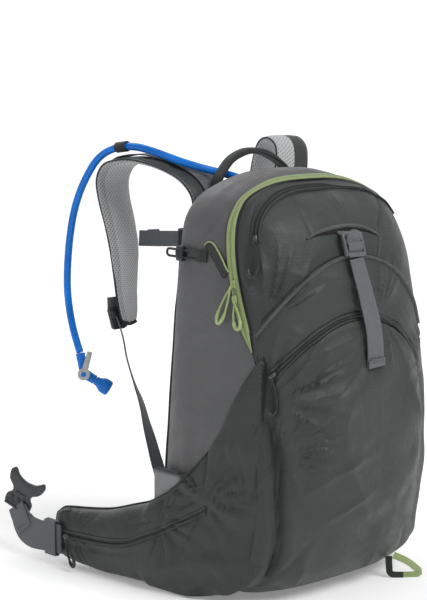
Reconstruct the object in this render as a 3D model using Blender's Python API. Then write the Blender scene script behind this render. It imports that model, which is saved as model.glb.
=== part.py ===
"""A hydration daypack with hip wings, standing on its base.

Frame: metres, +Z up, the wearer's right is +X, the wearer's side is +Y, the front faces -Y.
The origin is on the floor under the middle of the base.
"""

import math

import bmesh
import bpy
import numpy as np
from mathutils import Vector

GAP = 0.0004  # clearance between touching pieces
SKIN = 0.0025  # thickness of a fabric wall, lining included

# The pack body: half width, front and back at each height of a rounded-square section.
LEVELS = (0, 0.012, 0.04, 0.12, 0.20, 0.30, 0.38, 0.43, 0.458, 0.476, 0.485, 0.488)
HALF_WIDTHS = (0.104, 0.129, 0.147, 0.152, 0.148, 0.142, 0.136, 0.129, 0.113, 0.080, 0.046, 0.022)
FRONTS = (-0.034, -0.066, -0.093, -0.112, -0.118, -0.110, -0.095, -0.073, -0.049, -0.018, -0.001, 0.010)
BACKS = (0.088, 0.098, 0.103, 0.104, 0.101, 0.096, 0.093, 0.090, 0.084, 0.072, 0.060, 0.050)
MIDDLE_Y = 0.010
FRONT_POWER, BACK_POWER = 3.0, 5.0  # how square the section's front and back corners are
HEIGHT = LEVELS[-1]

# The seam that parts the front from the sides; from ZIP_END up it is the main zip.
SEAM_Z = (0, 0.04, 0.10, 0.20, 0.26, 0.295, 0.33, 0.36, 0.39, 0.42, 0.45, 0.475, 0.488)
SEAM_Y = (-0.060, -0.071, -0.076, -0.070, -0.066, -0.055, -0.041, -0.031, -0.022, -0.016, -0.012, -0.008, -0.004)
ZIP_END = 0.293
ZIP_HALF = 0.0065
FOLD_Z = 0.335  # the front folds down here when the main zip is open
BASE_TOP = 0.0225
BACK_FACE = (0.0805, 0.0905)  # the back panel's two faces

# Pocket outlines seen from the front: circles (x, z, radius), and the top arch.
STASH_ARC = (-0.012, 0.270, 0.127)
POCKET_ARC = (-0.018, 0.205, 0.125)
TOP_ARCH = dict(x=-0.003, z=0.400, a=0.118, b=0.072, power=2.8)
ZIP_STRIP = 0.008

TUBE_R = 0.00475
WEB = 0.0018  # webbing thickness


def interp(xs, ys, x):
    """A smooth curve through the points that never overshoots them."""
    xs, ys = np.array(xs, float), np.array(ys, float)
    step, slope = np.diff(xs), np.diff(ys) / np.diff(xs)
    m = np.concatenate([[slope[0]], np.zeros(len(xs) - 2), [slope[-1]]])
    for i in range(1, len(xs) - 1):
        if slope[i - 1] * slope[i] > 0:
            a, b = 2 * step[i] + step[i - 1], step[i] + 2 * step[i - 1]
            m[i] = (a + b) / (a / slope[i - 1] + b / slope[i])
    i = int(np.clip(np.searchsorted(xs, x) - 1, 0, len(xs) - 2))
    t = (x - xs[i]) / step[i]
    return float(
        (2 * t**3 - 3 * t**2 + 1) * ys[i]
        + (t**3 - 2 * t**2 + t) * step[i] * m[i]
        + (3 * t**2 - 2 * t**3) * ys[i + 1]
        + (t**3 - t**2) * step[i] * m[i + 1]
    )


def through(points, spacing):
    """Points about this far apart on a smooth curve through the given ones."""
    p = np.array(points, float)
    s = np.concatenate([[0], np.cumsum(np.linalg.norm(np.diff(p, axis=0), axis=1))])
    ends = np.vstack([2 * p[0] - p[1], p, 2 * p[-1] - p[-2]])
    out = []
    for i in range(len(p) - 1):
        a, b, c, d = ends[i : i + 4]
        count = max(1, round((s[i + 1] - s[i]) / spacing))
        for t in np.arange(count) / count:
            out.append(
                0.5 * (2 * b + (c - a) * t + (2 * a - 5 * b + 4 * c - d) * t**2 + (3 * b - a - 3 * c + d) * t**3)
            )
    return np.array(out + [p[-1]])


# ---------------------------------------------------------------- materials and objects

MATERIALS = {
    "ripstop_dark": ((0.105, 0.120, 0.115), 0.62, 0.0),
    "ripstop_grey": ((0.205, 0.205, 0.210), 0.65, 0.0),
    "lime": ((0.385, 0.470, 0.195), 0.60, 0.0),
    "mesh_grey": ((0.46, 0.47, 0.48), 0.85, 0.0),
    "webbing": ((0.135, 0.150, 0.165), 0.60, 0.0),
    "plastic": ((0.045, 0.050, 0.055), 0.38, 0.0),
    "tube_blue": ((0.010, 0.140, 0.560), 0.22, 0.0),
    "lever_grey": ((0.48, 0.48, 0.47), 0.40, 0.0),
    "bladder": ((0.55, 0.68, 0.80), 0.20, 0.0),
    "sheet": ((0.60, 0.60, 0.58), 0.45, 0.0),
    "zip": ((0.060, 0.066, 0.066), 0.45, 0.0),
}


def material(name):
    found = bpy.data.materials.get(name)
    if found:
        return found
    colour, roughness, metallic = MATERIALS[name]
    made = bpy.data.materials.new(name)
    made.use_nodes = True
    shader = made.node_tree.nodes["Principled BSDF"]
    shader.inputs["Base Color"].default_value = (*colour, 1)
    shader.inputs["Roughness"].default_value = roughness
    shader.inputs["Metallic"].default_value = metallic
    return made


def add(name, data, slot, helper=False):
    obj = bpy.data.objects.new(name, data)
    bpy.context.scene.collection.objects.link(obj)
    if helper:
        obj.hide_render = True
        obj.display_type = "WIRE"
    else:
        data.materials.append(material(slot))
    return obj


def solid(name, points, faces, slot="plastic", helper=False):
    """A mesh object with its faces turned outwards."""
    mesh = bpy.data.meshes.new(name)
    bm = bmesh.new()
    verts = [bm.verts.new(p) for p in points]
    for face in faces:
        bm.faces.new([verts[i] for i in face])
    bmesh.ops.recalc_face_normals(bm, faces=bm.faces)
    bm.to_mesh(mesh)
    bm.free()
    mesh.shade_smooth()
    mesh.set_sharp_from_angle(angle=math.radians(40))
    return add(name, mesh, slot, helper)


def loft(name, rings, slot="plastic", helper=False):
    """A closed solid through rings of equal length, with flat ends."""
    n, count = len(rings[0]), len(rings)
    points = [tuple(p) for ring in rings for p in ring]
    faces = [
        (r * n + i, r * n + (i + 1) % n, (r + 1) * n + (i + 1) % n, (r + 1) * n + i)
        for r in range(count - 1)
        for i in range(n)
    ]
    faces.append(tuple(range(n)))
    faces.append(tuple((count - 1) * n + i for i in range(n)))
    return solid(name, points, faces, slot, helper)


def sandwich(name, outer, inner, slot):
    """A closed solid between two grids of points of the same shape."""
    rows, cols = outer.shape[:2]
    rim = [(0, j) for j in range(cols)] + [(i, cols - 1) for i in range(1, rows)]
    rim += [(rows - 1, j) for j in range(cols - 2, -1, -1)] + [(i, 0) for i in range(rows - 2, 0, -1)]
    points = [tuple(p) for grid in (outer, inner) for p in grid.reshape(-1, 3)]
    side = rows * cols
    faces = []
    for i in range(rows - 1):
        for j in range(cols - 1):
            quad = (i * cols + j, i * cols + j + 1, (i + 1) * cols + j + 1, (i + 1) * cols + j)
            faces.append(quad)
            faces.append(tuple(side + k for k in quad))
    for (a, b), (c, d) in zip(rim, rim[1:] + rim[:1]):
        faces.append((a * cols + b, c * cols + d, side + c * cols + d, side + a * cols + b))
    return solid(name, points, faces, slot)


def boolean(obj, cutter, operation):
    m = obj.modifiers.new(operation.lower(), "BOOLEAN")
    m.object, m.operation = cutter, operation
    return obj


def frame_along(direction, up):
    """Unit vectors along, across and off a path, from its direction and a rough outward direction."""
    along = Vector(direction).normalized()
    across = along.cross(Vector(up)).normalized()
    return along, across, across.cross(along).normalized()


def blend_along(table, pts):
    """The table's extra columns, carried from its own points to others on the same path."""
    own = np.concatenate([[0], np.cumsum(np.linalg.norm(np.diff(table[:, :3], axis=0), axis=1))])
    s = np.concatenate([[0], np.cumsum(np.linalg.norm(np.diff(pts, axis=0), axis=1))])
    s *= own[-1] / s[-1]
    extra = [np.interp(s, own, table[:, k]) for k in range(3, table.shape[1])]
    return np.column_stack([pts, *extra])


def ribbon(name, path, width, thick, ups, slot, spacing=0.02, rounded=False):
    """Webbing or a padded strap: a flat section swept along a path. width and ups are one value or one per point."""
    pts = through(path, spacing)
    ups = np.array(ups if np.ndim(ups) == 2 else [ups] * len(path), float)
    more = np.column_stack([np.array(path, float), ups, np.broadcast_to(width, len(path))])
    pts = blend_along(more, pts)
    u, widths = pts[:, 3:6], pts[:, 6]
    pts = pts[:, :3]
    rings = []
    for i, p in enumerate(pts):
        step = pts[min(i + 1, len(pts) - 1)] - pts[max(i - 1, 0)]
        _, across, off = frame_along(step, u[i])
        if rounded:
            corner = [(1, 0), (0.86, 0.8), (0.55, 1), (-0.55, 1), (-0.86, 0.8), (-1, 0), (-0.86, -0.8), (-0.55, -1)]
            corner += [(0.55, -1), (0.86, -0.8)]
        else:
            corner = [(1, 1), (-1, 1), (-1, -1), (1, -1)]
        rings.append([Vector(p) + across * (a * widths[i] / 2) + off * (b * thick / 2) for a, b in corner])
    return loft(name, rings, slot)


def tube(name, points, radius, slot, resolution=2, cyclic=False, helper=False):
    curve = bpy.data.curves.new(name, "CURVE")
    curve.dimensions = "3D"
    curve.bevel_depth, curve.bevel_resolution = radius, resolution
    curve.use_fill_caps = not cyclic
    spline = curve.splines.new("POLY")
    spline.points.add(len(points) - 1)
    for sp, p in zip(spline.points, points):
        sp.co = (*p, 1)
    spline.use_cyclic_u = cyclic
    return add(name, curve, slot, helper)


def block(name, centre, axes, size, slot="plastic", bevel=0.0, helper=False):
    """A box with its own axes, its edges bevelled."""
    a, b, c = (Vector(v) * s / 2 for v, s in zip(axes, size))
    signs = [(x, y, z) for z in (-1, 1) for y in (-1, 1) for x in (-1, 1)]
    points = [Vector(centre) + a * x + b * y + c * z for x, y, z in signs]
    faces = [(0, 1, 3, 2), (4, 5, 7, 6), (0, 1, 5, 4), (2, 3, 7, 6), (0, 2, 6, 4), (1, 3, 7, 5)]
    obj = solid(name, points, faces, slot, helper)
    if bevel:
        m = obj.modifiers.new("bevel", "BEVEL")
        m.width, m.segments, m.limit_method = bevel, 2, "NONE"
    return obj


WORLD = (Vector((1, 0, 0)), Vector((0, 1, 0)), Vector((0, 0, 1)))


def cylinder(name, start, end, radius, slot="plastic", sides=20, helper=False):
    along, across, off = frame_along(Vector(end) - Vector(start), (0.31, 0.27, 0.91))
    turn = [2 * math.pi * i / sides for i in range(sides)]
    rings = [
        [Vector(p) + across * (radius * math.cos(t)) + off * (radius * math.sin(t)) for t in turn]
        for p in (start, end)
    ]
    return loft(name, rings, slot, helper)


# ---------------------------------------------------------------- the body's surface


def section(z, offset=0.0):
    return (
        interp(LEVELS, HALF_WIDTHS, z) + offset,
        interp(LEVELS, FRONTS, z) - offset,
        interp(LEVELS, BACKS, z) + offset,
    )


def ring(z, height, offset, sides=44):
    """The section at level z, drawn at this height."""
    w, front, back = section(z, offset)
    middle = min(max(MIDDLE_Y, front + 0.01), back - 0.01)
    points = []
    for i in range(sides):
        t = 2 * math.pi * i / sides
        c, s = math.cos(t), math.sin(t)
        power = 2 / (BACK_POWER if s > 0 else FRONT_POWER)
        reach = (back - middle) if s > 0 else (middle - front)
        x = w * math.copysign(abs(c) ** power, c)
        points.append((x, middle + math.copysign(reach * abs(s) ** power, s), height))
    return points


def front_y(x, z, offset=0.0):
    """The body's front surface, at x and z."""
    w, front, _ = section(z, offset)
    return MIDDLE_Y - (MIDDLE_Y - front) * max(0.0, 1 - abs(x / w) ** FRONT_POWER) ** (1 / FRONT_POWER)


def side_x(y, z, offset=0.0):
    """Half the body's width at y and z."""
    w, front, back = section(z, offset)
    power, reach = (BACK_POWER, back - MIDDLE_Y) if y > MIDDLE_Y else (FRONT_POWER, MIDDLE_Y - front)
    return w * max(0.0, 1 - abs((y - MIDDLE_Y) / reach) ** power) ** (1 / power)


def normal_front(x, z):
    d = 0.002
    u = Vector((2 * d, front_y(x + d, z) - front_y(x - d, z), 0))
    v = Vector((0, front_y(x, z + d) - front_y(x, z - d), 2 * d))
    return u.cross(v).normalized()


BODY_STEPS = (0, 0.005, 0.012, 0.024, 0.04, 0.065, 0.10, 0.15, 0.20, 0.25, 0.30, 0.34, 0.38, 0.41, 0.43, 0.446)
BODY_STEPS += (0.458, 0.468, 0.476, 0.482, 0.486, 0.488)


def body(name, offset):
    squeeze = (HEIGHT + 2 * offset) / HEIGHT
    return loft(name, [ring(z, z * squeeze - offset, offset) for z in BODY_STEPS], helper=True)


def slab_cutter(name, rear, front, low, high, step=0.03):
    """A prism across the whole width, between two seams y(z) and two heights."""
    zs = np.linspace(low, high, max(2, round((high - low) / step) + 1))
    outline = [(front(z), z) for z in zs] + [(rear(z), z) for z in zs[::-1]]
    rings = [[(x, y, z) for y, z in outline] for x in (-0.3, 0.3)]
    return loft(name, rings, helper=True)


def seam(z, shift=0.0):
    return interp(SEAM_Z, SEAM_Y, max(0.0, min(z, HEIGHT))) + shift


def walls():
    """The fabric walls: one hollow body, cut along its seams."""
    hollow = body("hollow", -SKIN)
    top, far = HEIGHT + 0.02, lambda z: -0.3
    back_edge = lambda z: BACK_FACE[0] - GAP
    cuts = {
        "base_panel": (lambda z: 0.2, far, -0.01, BASE_TOP),
        "main_gusset": (back_edge, lambda z: seam(z, ZIP_HALF + GAP if z >= ZIP_END else GAP), BASE_TOP + GAP, top),
        "main_zip_tape": (lambda z: seam(z, ZIP_HALF), lambda z: seam(z, -ZIP_HALF), ZIP_END + 0.004, top),
        "front_shell_lower": (lambda z: seam(z, -ZIP_HALF - GAP), far, BASE_TOP + GAP, FOLD_Z - GAP),
        "front_shell_upper": (lambda z: seam(z, -ZIP_HALF - GAP), far, FOLD_Z + GAP, top),
        "back_panel": (lambda z: BACK_FACE[1], lambda z: BACK_FACE[0], BASE_TOP + GAP, top),
    }
    slots = {"main_gusset": "ripstop_grey", "main_zip_tape": "lime", "back_panel": "mesh_grey"}
    made = {}
    for name, (rear, front, low, high) in cuts.items():
        obj = body(name, 0.0)
        obj.hide_render, obj.display_type = False, "TEXTURED"
        obj.data.materials.append(material(slots.get(name, "ripstop_dark")))
        cutter = slab_cutter(name + "_cut", rear, front, low, high)
        boolean(obj, cutter, "INTERSECT")
        if name != "back_panel":
            boolean(obj, hollow, "DIFFERENCE")
        made[name] = obj
    hole = cylinder("hose_hole", HOSE_EXIT[0], HOSE_EXIT[1], TUBE_R + 0.0016, helper=True)
    boolean(made["main_gusset"], hole, "DIFFERENCE")


# ---------------------------------------------------------------- front pockets


def front_patch(name, xs, low, high, lift, thick, rows, slot="ripstop_dark"):
    """A panel lying on the front, between two outlines z(x)."""
    grids = []
    for offset in (lift + thick, lift):
        grid = [
            [(x, front_y(x, z, offset), z) for x in xs for z in [low(x) + (high(x) - low(x)) * i / rows]]
            for i in range(rows + 1)
        ]
        grids.append(np.array(grid))
    return sandwich(name, *grids, slot)


def arc_z(arc, x, shrink=0.0):
    cx, cz, r = arc
    return cz + math.sqrt(max(0.0, (r - shrink) ** 2 - (x - cx) ** 2))


def arc_point(arc, angle, lift, grow=0.0):
    """A point on the front, on a circle seen from the front. Angle 0 is to the right, 90 up."""
    cx, cz, r = arc
    a = math.radians(angle)
    x, z = cx + (r + grow) * math.cos(a), cz + (r + grow) * math.sin(a)
    return Vector((x, front_y(x, z, lift), z))


def arch_point(angle, lift, grow=0.0):
    """A point on the top pocket's arch."""
    a, c = math.radians(angle), TOP_ARCH
    power = 2 / c["power"]
    x = c["x"] + (c["a"] + grow) * math.copysign(abs(math.cos(a)) ** power, math.cos(a))
    z = c["z"] + (c["b"] + grow) * abs(math.sin(a)) ** power
    return Vector((x, front_y(x, z, lift), z))


def zip_strip(name, point, start, end, steps, slot="zip"):
    grids = [
        np.array([[point(start + (end - start) * i / steps, lift, g) for g in (-ZIP_STRIP / 2, ZIP_STRIP / 2)]
                  for i in range(steps + 1)])
        for lift in (0.0022, 0.0010)
    ]
    return sandwich(name, *grids, slot)


POCKET_SPAN, TOP_SPAN = (149.5, 30), (172, 22)  # angles where the zips start and end


def front_pockets():
    xs = np.linspace(-0.1235, 0.102, 19)
    front_patch("front_pocket", xs, lambda x: 0.060, lambda x: arc_z(POCKET_ARC, x, ZIP_STRIP / 2 + 0.0006),
                0.0010, 0.0022, 9)
    reach = math.sqrt(STASH_ARC[2] ** 2 - (FOLD_Z + 0.004 - STASH_ARC[1]) ** 2) - 0.004
    xs = np.linspace(STASH_ARC[0] - reach, STASH_ARC[0] + reach, 15)
    front_patch("stash_panel", xs, lambda x: FOLD_Z + 0.0012, lambda x: arc_z(STASH_ARC, x), 0.0010, 0.0014, 4)
    zip_strip("front_pocket_zip", lambda a, lift, g: arc_point(POCKET_ARC, a, lift, g), *POCKET_SPAN, 24)
    zip_strip("top_pocket_zip", arch_point, *TOP_SPAN, 26)


# ---------------------------------------------------------------- zip sliders and pulls


def slider(name, place, along, off, slot, lift=0.0018):
    """A zip slider lying on its zip."""
    along, across, off = frame_along(along, off)
    return block(name, Vector(place) + off * lift, (along, across, off), (0.0095, 0.0065, 0.0032), slot, 0.0008)


def pull(name, place, down, off, slot, length=0.027, width=0.010):
    """A cord loop with rounded end, hanging from a slider."""
    down, across, off = frame_along(down, off)
    start = Vector(place) + down * 0.0075 + off * 0.0034
    outline = []
    for i in range(14):
        t = 2 * math.pi * i / 14
        reach = (1 - math.cos(t)) / 2
        outline.append(start + down * (length * reach) + across * (width / 2 * math.sin(t) * (0.45 + 0.75 * reach)))
    return tube(name, outline, 0.0011, slot, 1, cyclic=True)


MAIN_ZIP_LOW, MAIN_ZIP_HIGH = 0.370, 0.428


def on_main_zip(z, lift):
    y = seam(z)
    return Vector((-side_x(y, z, lift), y, z))


def side_normal(y, z):
    d = 0.002
    u = Vector((-side_x(y + d, z) + side_x(y - d, z), 2 * d, 0))
    v = Vector((-side_x(y, z + d) + side_x(y, z - d), 0, 2 * d))
    n = u.cross(v).normalized()
    return n if n.x < 0 else -n


def wing_point(y, z):
    """A point on the outer face of the left wing."""
    return Vector((-interp(WING_Y, WING_OUT, y), y, z))


WING_ZIP = ((0.205, 0.041), (0.100, 0.050))  # (y, z) of the zip's rear end and where it leaves the wing


def zippers():
    """Every slider with its pull, as (slider, pull, place, along, outwards)."""
    low, high = on_main_zip(MAIN_ZIP_LOW, 0), on_main_zip(MAIN_ZIP_HIGH, 0)
    off = side_normal(seam(0.375), 0.375)
    track = high - low
    rest = low + off * 0.0016
    below = rest - track.normalized() * 0.017
    down = -track.normalized()
    slider("main_zip_slider_upper", rest, track, off, "lime")
    across = frame_along(down, off)[1]
    ahead = -across if across.y > 0 else across
    lean = down * math.cos(math.radians(29)) - ahead * math.sin(math.radians(29))
    pull("main_zip_pull_upper", rest + off * 0.0026, lean, off, "lime", 0.040, 0.010)
    slider("main_zip_slider_lower", below, track, off, "lime")
    lean = down * math.cos(math.radians(5)) + ahead * math.sin(math.radians(5))
    pull("main_zip_pull_lower", below, lean, off, "lime", 0.027, 0.010)
    for part, point, span in (("front_pocket", arc_point, POCKET_SPAN), ("top_pocket", None, TOP_SPAN)):
        at = (lambda a: point(POCKET_ARC, a, 0.0026)) if point else (lambda a: arch_point(a, 0.0026))
        place, ahead = at(span[0] - 1.5), at(span[0] - 6)
        out = normal_front(place.x, place.z)
        slider(part + "_slider", place, ahead - place, out, "zip", 0.0032)
        hang = Vector((0.0, 0.0, -1.0))
        hang = (hang - out * hang.dot(out)).normalized()
        pull(part + "_pull", place + out * 0.0018, hang, out, "plastic", 0.036, 0.012)
    for side, name in ((1, "left"), (-1, "right")):
        y, z = WING_ZIP[0]
        place = wing_point(y, z) + Vector((-0.0012, 0, 0))
        along = wing_point(*WING_ZIP[1]) - wing_point(*WING_ZIP[0])
        place.x, along.x = place.x * side, along.x * side
        slider(f"wing_slider_{name}", place, along, (-side, 0, 0), "zip")


# ---------------------------------------------------------------- hip wings

WING_Y = (-0.073, -0.05, -0.02, 0.01, 0.045, 0.084, 0.12, 0.16, 0.20, 0.23, 0.246)
WING_OUT = (0.138, 0.149, 0.162, 0.171, 0.180, 0.186, 0.191, 0.195, 0.196, 0.194, 0.188)
WING_TOP = (0.296, 0.260, 0.200, 0.158, 0.126, 0.104, 0.092, 0.080, 0.074, 0.071, 0.060)
WING_BOTTOM = (0.046, 0.022, 0.008, 0.002, 0.000, 0.000, 0.000, 0.000, 0.002, 0.007, 0.015)
WING_SPLIT = 0.086  # the wing bends here, about an upright line at its inner face


def wing_rings(ys, inner, side):
    """Upright sections of a wing: a flat inner face and a rounded outer one."""
    rings = []
    for y in ys:
        out, top, low = (interp(WING_Y, t, y) for t in (WING_OUT, WING_TOP, WING_BOTTOM))
        middle, half = (top + low) / 2, (top - low) / 2
        points = []
        for i in range(7):
            t = math.pi * i / 6
            h = middle - half * math.cos(t)
            inside = inner(y, h)
            depth = max(0.0016, (out - inside)) * math.sin(t) ** 0.6 if 0 < i < 6 else 0.0016
            points.append((side * (inside + depth), y, h))
        for i in range(5, 0, -1):
            h = middle - half * math.cos(math.pi * i / 6)
            points.append((side * (inner(y, h)), y, h))
        rings.append(points)
    return rings


def wings():
    for side, name in ((-1, "left"), (1, "right")):

        def panel_inner(y, z):
            near = side_x(y, max(z, 0.03), 0.0016)
            share = min(1.0, max(0.0, (y + 0.01) / 0.03))
            return near + (0.1655 - near) * share

        def wing_inner(y, z):
            return interp((WING_SPLIT, 0.12, 0.16, 0.20, 0.246), (0.152, 0.157, 0.163, 0.168, 0.180), y)

        ys = (-0.073, -0.060, -0.045, -0.028, -0.010, 0.008, 0.026, 0.050, WING_SPLIT - 0.003)
        loft(f"side_panel_{name}", wing_rings(ys, panel_inner, side), "ripstop_dark")
        ys = (WING_SPLIT + 0.003, 0.112, 0.140, 0.168, 0.196, 0.220, 0.236, 0.246)
        loft(f"hip_wing_{name}", wing_rings(ys, wing_inner, side), "ripstop_dark")
        side_pocket(side, name)
        belt(side, name)


def side_pocket(side, name):
    """An open stretch pocket between the wing and the body, for a bottle or pole tips."""
    low, high, x0, x1, y0, y1 = 0.012, 0.142, 0.1515, 0.1650, 0.034, 0.0815
    wall = 0.0012
    centre = Vector((side * (x0 + x1) / 2, (y0 + y1) / 2, (low + high) / 2))
    pocket = block(f"side_pocket_{name}", centre, WORLD, (x1 - x0, y1 - y0, high - low), "ripstop_grey")
    inner = block(f"side_pocket_{name}_inside", centre + Vector((0, 0, wall * 2)), WORLD,
                  (x1 - x0 - 2 * wall, y1 - y0 - 2 * wall, high - low), helper=True)
    boolean(pocket, inner, "DIFFERENCE")


BELT_X = 0.197
BELT_OUTLINE = ((0.222, 0.015), (0.222, 0.052), (0.272, 0.053), (0.283, 0.061), (0.315, 0.061), (0.329, 0.047),
                (0.327, 0.034), (0.281, 0.006), (0.262, 0.009))
BUCKLE_BAR = (0.299, 0.0680)  # (y, z) of the bar that the webbing folds over
PRONGS = ((-0.021, 0.000), (0.021, 0.000), (0.022, 0.013), (0.011, 0.018), (0.011, 0.026), (0.024, 0.034),
          (0.020, 0.041), (0.006, 0.036), (-0.006, 0.036), (-0.020, 0.041), (-0.024, 0.034), (-0.011, 0.026),
          (-0.011, 0.018), (-0.022, 0.013))


def plate(name, outline, x, thick, slot):
    """A flat piece in an upright plane across X, from its outline in y and z."""
    return loft(name, [[(x + s * thick / 2, y, z) for y, z in outline] for s in (-1, 1)], slot)


def belt(side, name):
    plate(f"belt_webbing_{name}", BELT_OUTLINE, side * BELT_X, 0.0036, "webbing")
    y, z = BUCKLE_BAR
    low = z - 0.0035
    if name == "left":
        plate("belt_buckle_male", [(y + a, low + b) for a, b in PRONGS], side * BELT_X, 0.0075, "plastic")
    else:
        centre = Vector((side * BELT_X, y, low + 0.021))
        shell = block("belt_buckle_female", centre, WORLD, (0.0125, 0.046, 0.042), "plastic", 0.002)
        mouth = block("buckle_mouth", centre + Vector((0, 0, 0.008)), WORLD, (0.0080, 0.038, 0.042), helper=True)
        boolean(shell, mouth, "DIFFERENCE")


# ---------------------------------------------------------------- harness

STRAP_THICK = 0.011
STRAPS = {  # a point on the strap's centre line, and its width there
    "left": ((-0.056, 0.0975, 0.436, 0.060), (-0.057, 0.1005, 0.460, 0.060), (-0.060, 0.120, 0.479, 0.060),
             (-0.066, 0.155, 0.492, 0.059), (-0.073, 0.188, 0.498, 0.058), (-0.079, 0.216, 0.497, 0.056),
             (-0.0800, 0.2400, 0.4900, 0.055), (-0.0805, 0.2520, 0.472, 0.053), (-0.0815, 0.2480, 0.448, 0.051),
             (-0.0835, 0.2350, 0.418, 0.049), (-0.0860, 0.2250, 0.388, 0.045), (-0.0885, 0.2185, 0.352, 0.038),
             (-0.0905, 0.2140, 0.320, 0.031), (-0.0915, 0.2090, 0.297, 0.022)),
    "right": ((0.070, 0.0975, 0.436, 0.058), (0.078, 0.1000, 0.465, 0.056), (0.088, 0.1040, 0.493, 0.054),
              (0.0935, 0.1120, 0.5130, 0.054), (0.0955, 0.1270, 0.5220, 0.053), (0.0965, 0.1430, 0.5180, 0.052),
              (0.0970, 0.1540, 0.4990, 0.051), (0.0970, 0.1640, 0.460, 0.049), (0.099, 0.1740, 0.418, 0.047),
              (0.103, 0.1810, 0.376, 0.042), (0.108, 0.1840, 0.338, 0.034), (0.1115, 0.1840, 0.314, 0.026)),
}
LADDER_LOCKS = {  # the top and bottom of each strap's adjuster, on the strap's outer face
    "left": ((-0.1030, 0.2245, 0.3150), (-0.1030, 0.2135, 0.2870)),
    "right": ((0.1130, 0.1945, 0.3220), (0.1140, 0.1875, 0.2930)),
}
WEB_ROUTES = {
    "left": ((-0.103, 0.2118, 0.2845), (-0.104, 0.196, 0.245), (-0.108, 0.170, 0.205), (-0.113, 0.146, 0.165),
             (-0.118, 0.1235, 0.125), (-0.121, 0.108, 0.095), (-0.120, 0.0975, 0.066)),
    "right": ((0.1142, 0.1862, 0.2900), (0.116, 0.177, 0.245), (0.118, 0.163, 0.205), (0.120, 0.145, 0.165),
              (0.121, 0.125, 0.125), (0.121, 0.108, 0.095), (0.120, 0.0975, 0.066)),
}


def outwards(path):
    """Normals away from the loop's inside, in the upright plane that a strap runs in."""
    p = np.array(path)
    d = np.gradient(p, axis=0)
    return np.stack([np.zeros(len(p)), -d[:, 2], d[:, 1]], 1) * -1


def harness():
    for name, stations in STRAPS.items():
        route = [p[:3] for p in stations]
        widths = [p[3] for p in stations]
        ribbon(f"shoulder_strap_{name}", route, widths, STRAP_THICK, outwards(route), "mesh_grey", 0.018, True)
        ribbon(f"strap_webbing_{name}", WEB_ROUTES[name], 0.020, WEB, (0, 1, 0.3), "webbing")
        top, bottom = (Vector(p) for p in LADDER_LOCKS[name])
        along, across, off = frame_along(bottom - top, (0, 1, -0.3))
        middle, length = (top + bottom) / 2, (bottom - top).length
        lock = block(f"ladder_lock_{name}", middle, (across, along, off), (0.027, length, 0.004), "plastic", 0.001)
        for k in (-1, 1):
            slot = block(f"ladder_slot_{name}_{k}", middle + along * (k * length * 0.23), (across, along, off),
                         (0.021, 0.0036, 0.02), helper=True)
            boolean(lock, slot, "DIFFERENCE")
    sternum()
    backpads()


def sternum():
    start, end = Vector((-0.0600, 0.2262, 0.398)), Vector((0.0760, 0.1775, 0.398))
    middle = (start + end) / 2 + Vector((0, 0, -0.003))
    along, across, off = frame_along(end - start, (0, 1, 0))
    ribbon("sternum_strap", [start, (start + middle) / 2 - Vector((0, 0, 0.0006)), middle,
                             (end + middle) / 2 - Vector((0, 0, 0.0006)), end], 0.020, WEB, tuple(off), "webbing")
    buckle = block("sternum_buckle", middle, (along, across, off), (0.037, 0.027, 0.009), "plastic", 0.002)
    bore = block("sternum_buckle_slot", middle, (along, across, off), (0.060, 0.0212, WEB + 0.0010), helper=True)
    boolean(buckle, bore, "DIFFERENCE")


def backpads():
    for name, low, high, half in (("back_pad_upper", 0.262, 0.424, 0.098), ("back_pad_lower", 0.070, 0.250, 0.108)):
        centre = (0, BACK_FACE[1] + GAP + 0.0055, (low + high) / 2)
        block(name, centre, WORLD, (2 * half, 0.011, high - low), "mesh_grey", 0.004)


# ---------------------------------------------------------------- water: reservoir, hose, valve

HOSE_EXIT = ((-0.0208, 0.0653, 0.4664), (-0.0285, 0.0785, 0.4822))  # a line through the port in the gusset
TUBE_START = (-0.0222, 0.0677, 0.4692)
TUBE_ROUTE = (
    TUBE_START, (-0.0250, 0.0725, 0.4750), (-0.0292, 0.0795, 0.4800), (-0.0345, 0.0880, 0.4830),
    (-0.0415, 0.0980, 0.4860), (-0.0520, 0.1080, 0.4895), (-0.0625, 0.1180, 0.4935), (-0.0730, 0.1310, 0.4985),
    (-0.0795, 0.1480, 0.5040),
    (-0.0845, 0.1700, 0.5100), (-0.0880, 0.1960, 0.5145), (-0.0915, 0.2200, 0.5140), (-0.0955, 0.2420, 0.5085),
    (-0.1000, 0.2590, 0.4970), (-0.1050, 0.2720, 0.4780), (-0.1100, 0.2825, 0.4550), (-0.1135, 0.2905, 0.4290),
    (-0.1160, 0.2955, 0.4000), (-0.1180, 0.2980, 0.3690), (-0.1195, 0.2980, 0.3380), (-0.1200, 0.2945, 0.3110),
    (-0.1200, 0.2875, 0.2850), (-0.1200, 0.2795, 0.2660), (-0.1200, 0.2730, 0.2530),
)
HUB = Vector((-0.1200, 0.2650, 0.2270))
HUB_AXIS = Vector((-0.675, -0.738, 0)).normalized()
VALVE_OUT = Vector((0.55, -0.60, -0.52)).normalized()


def across_hub(v):
    return (v - HUB_AXIS * v.dot(HUB_AXIS)).normalized()


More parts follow.
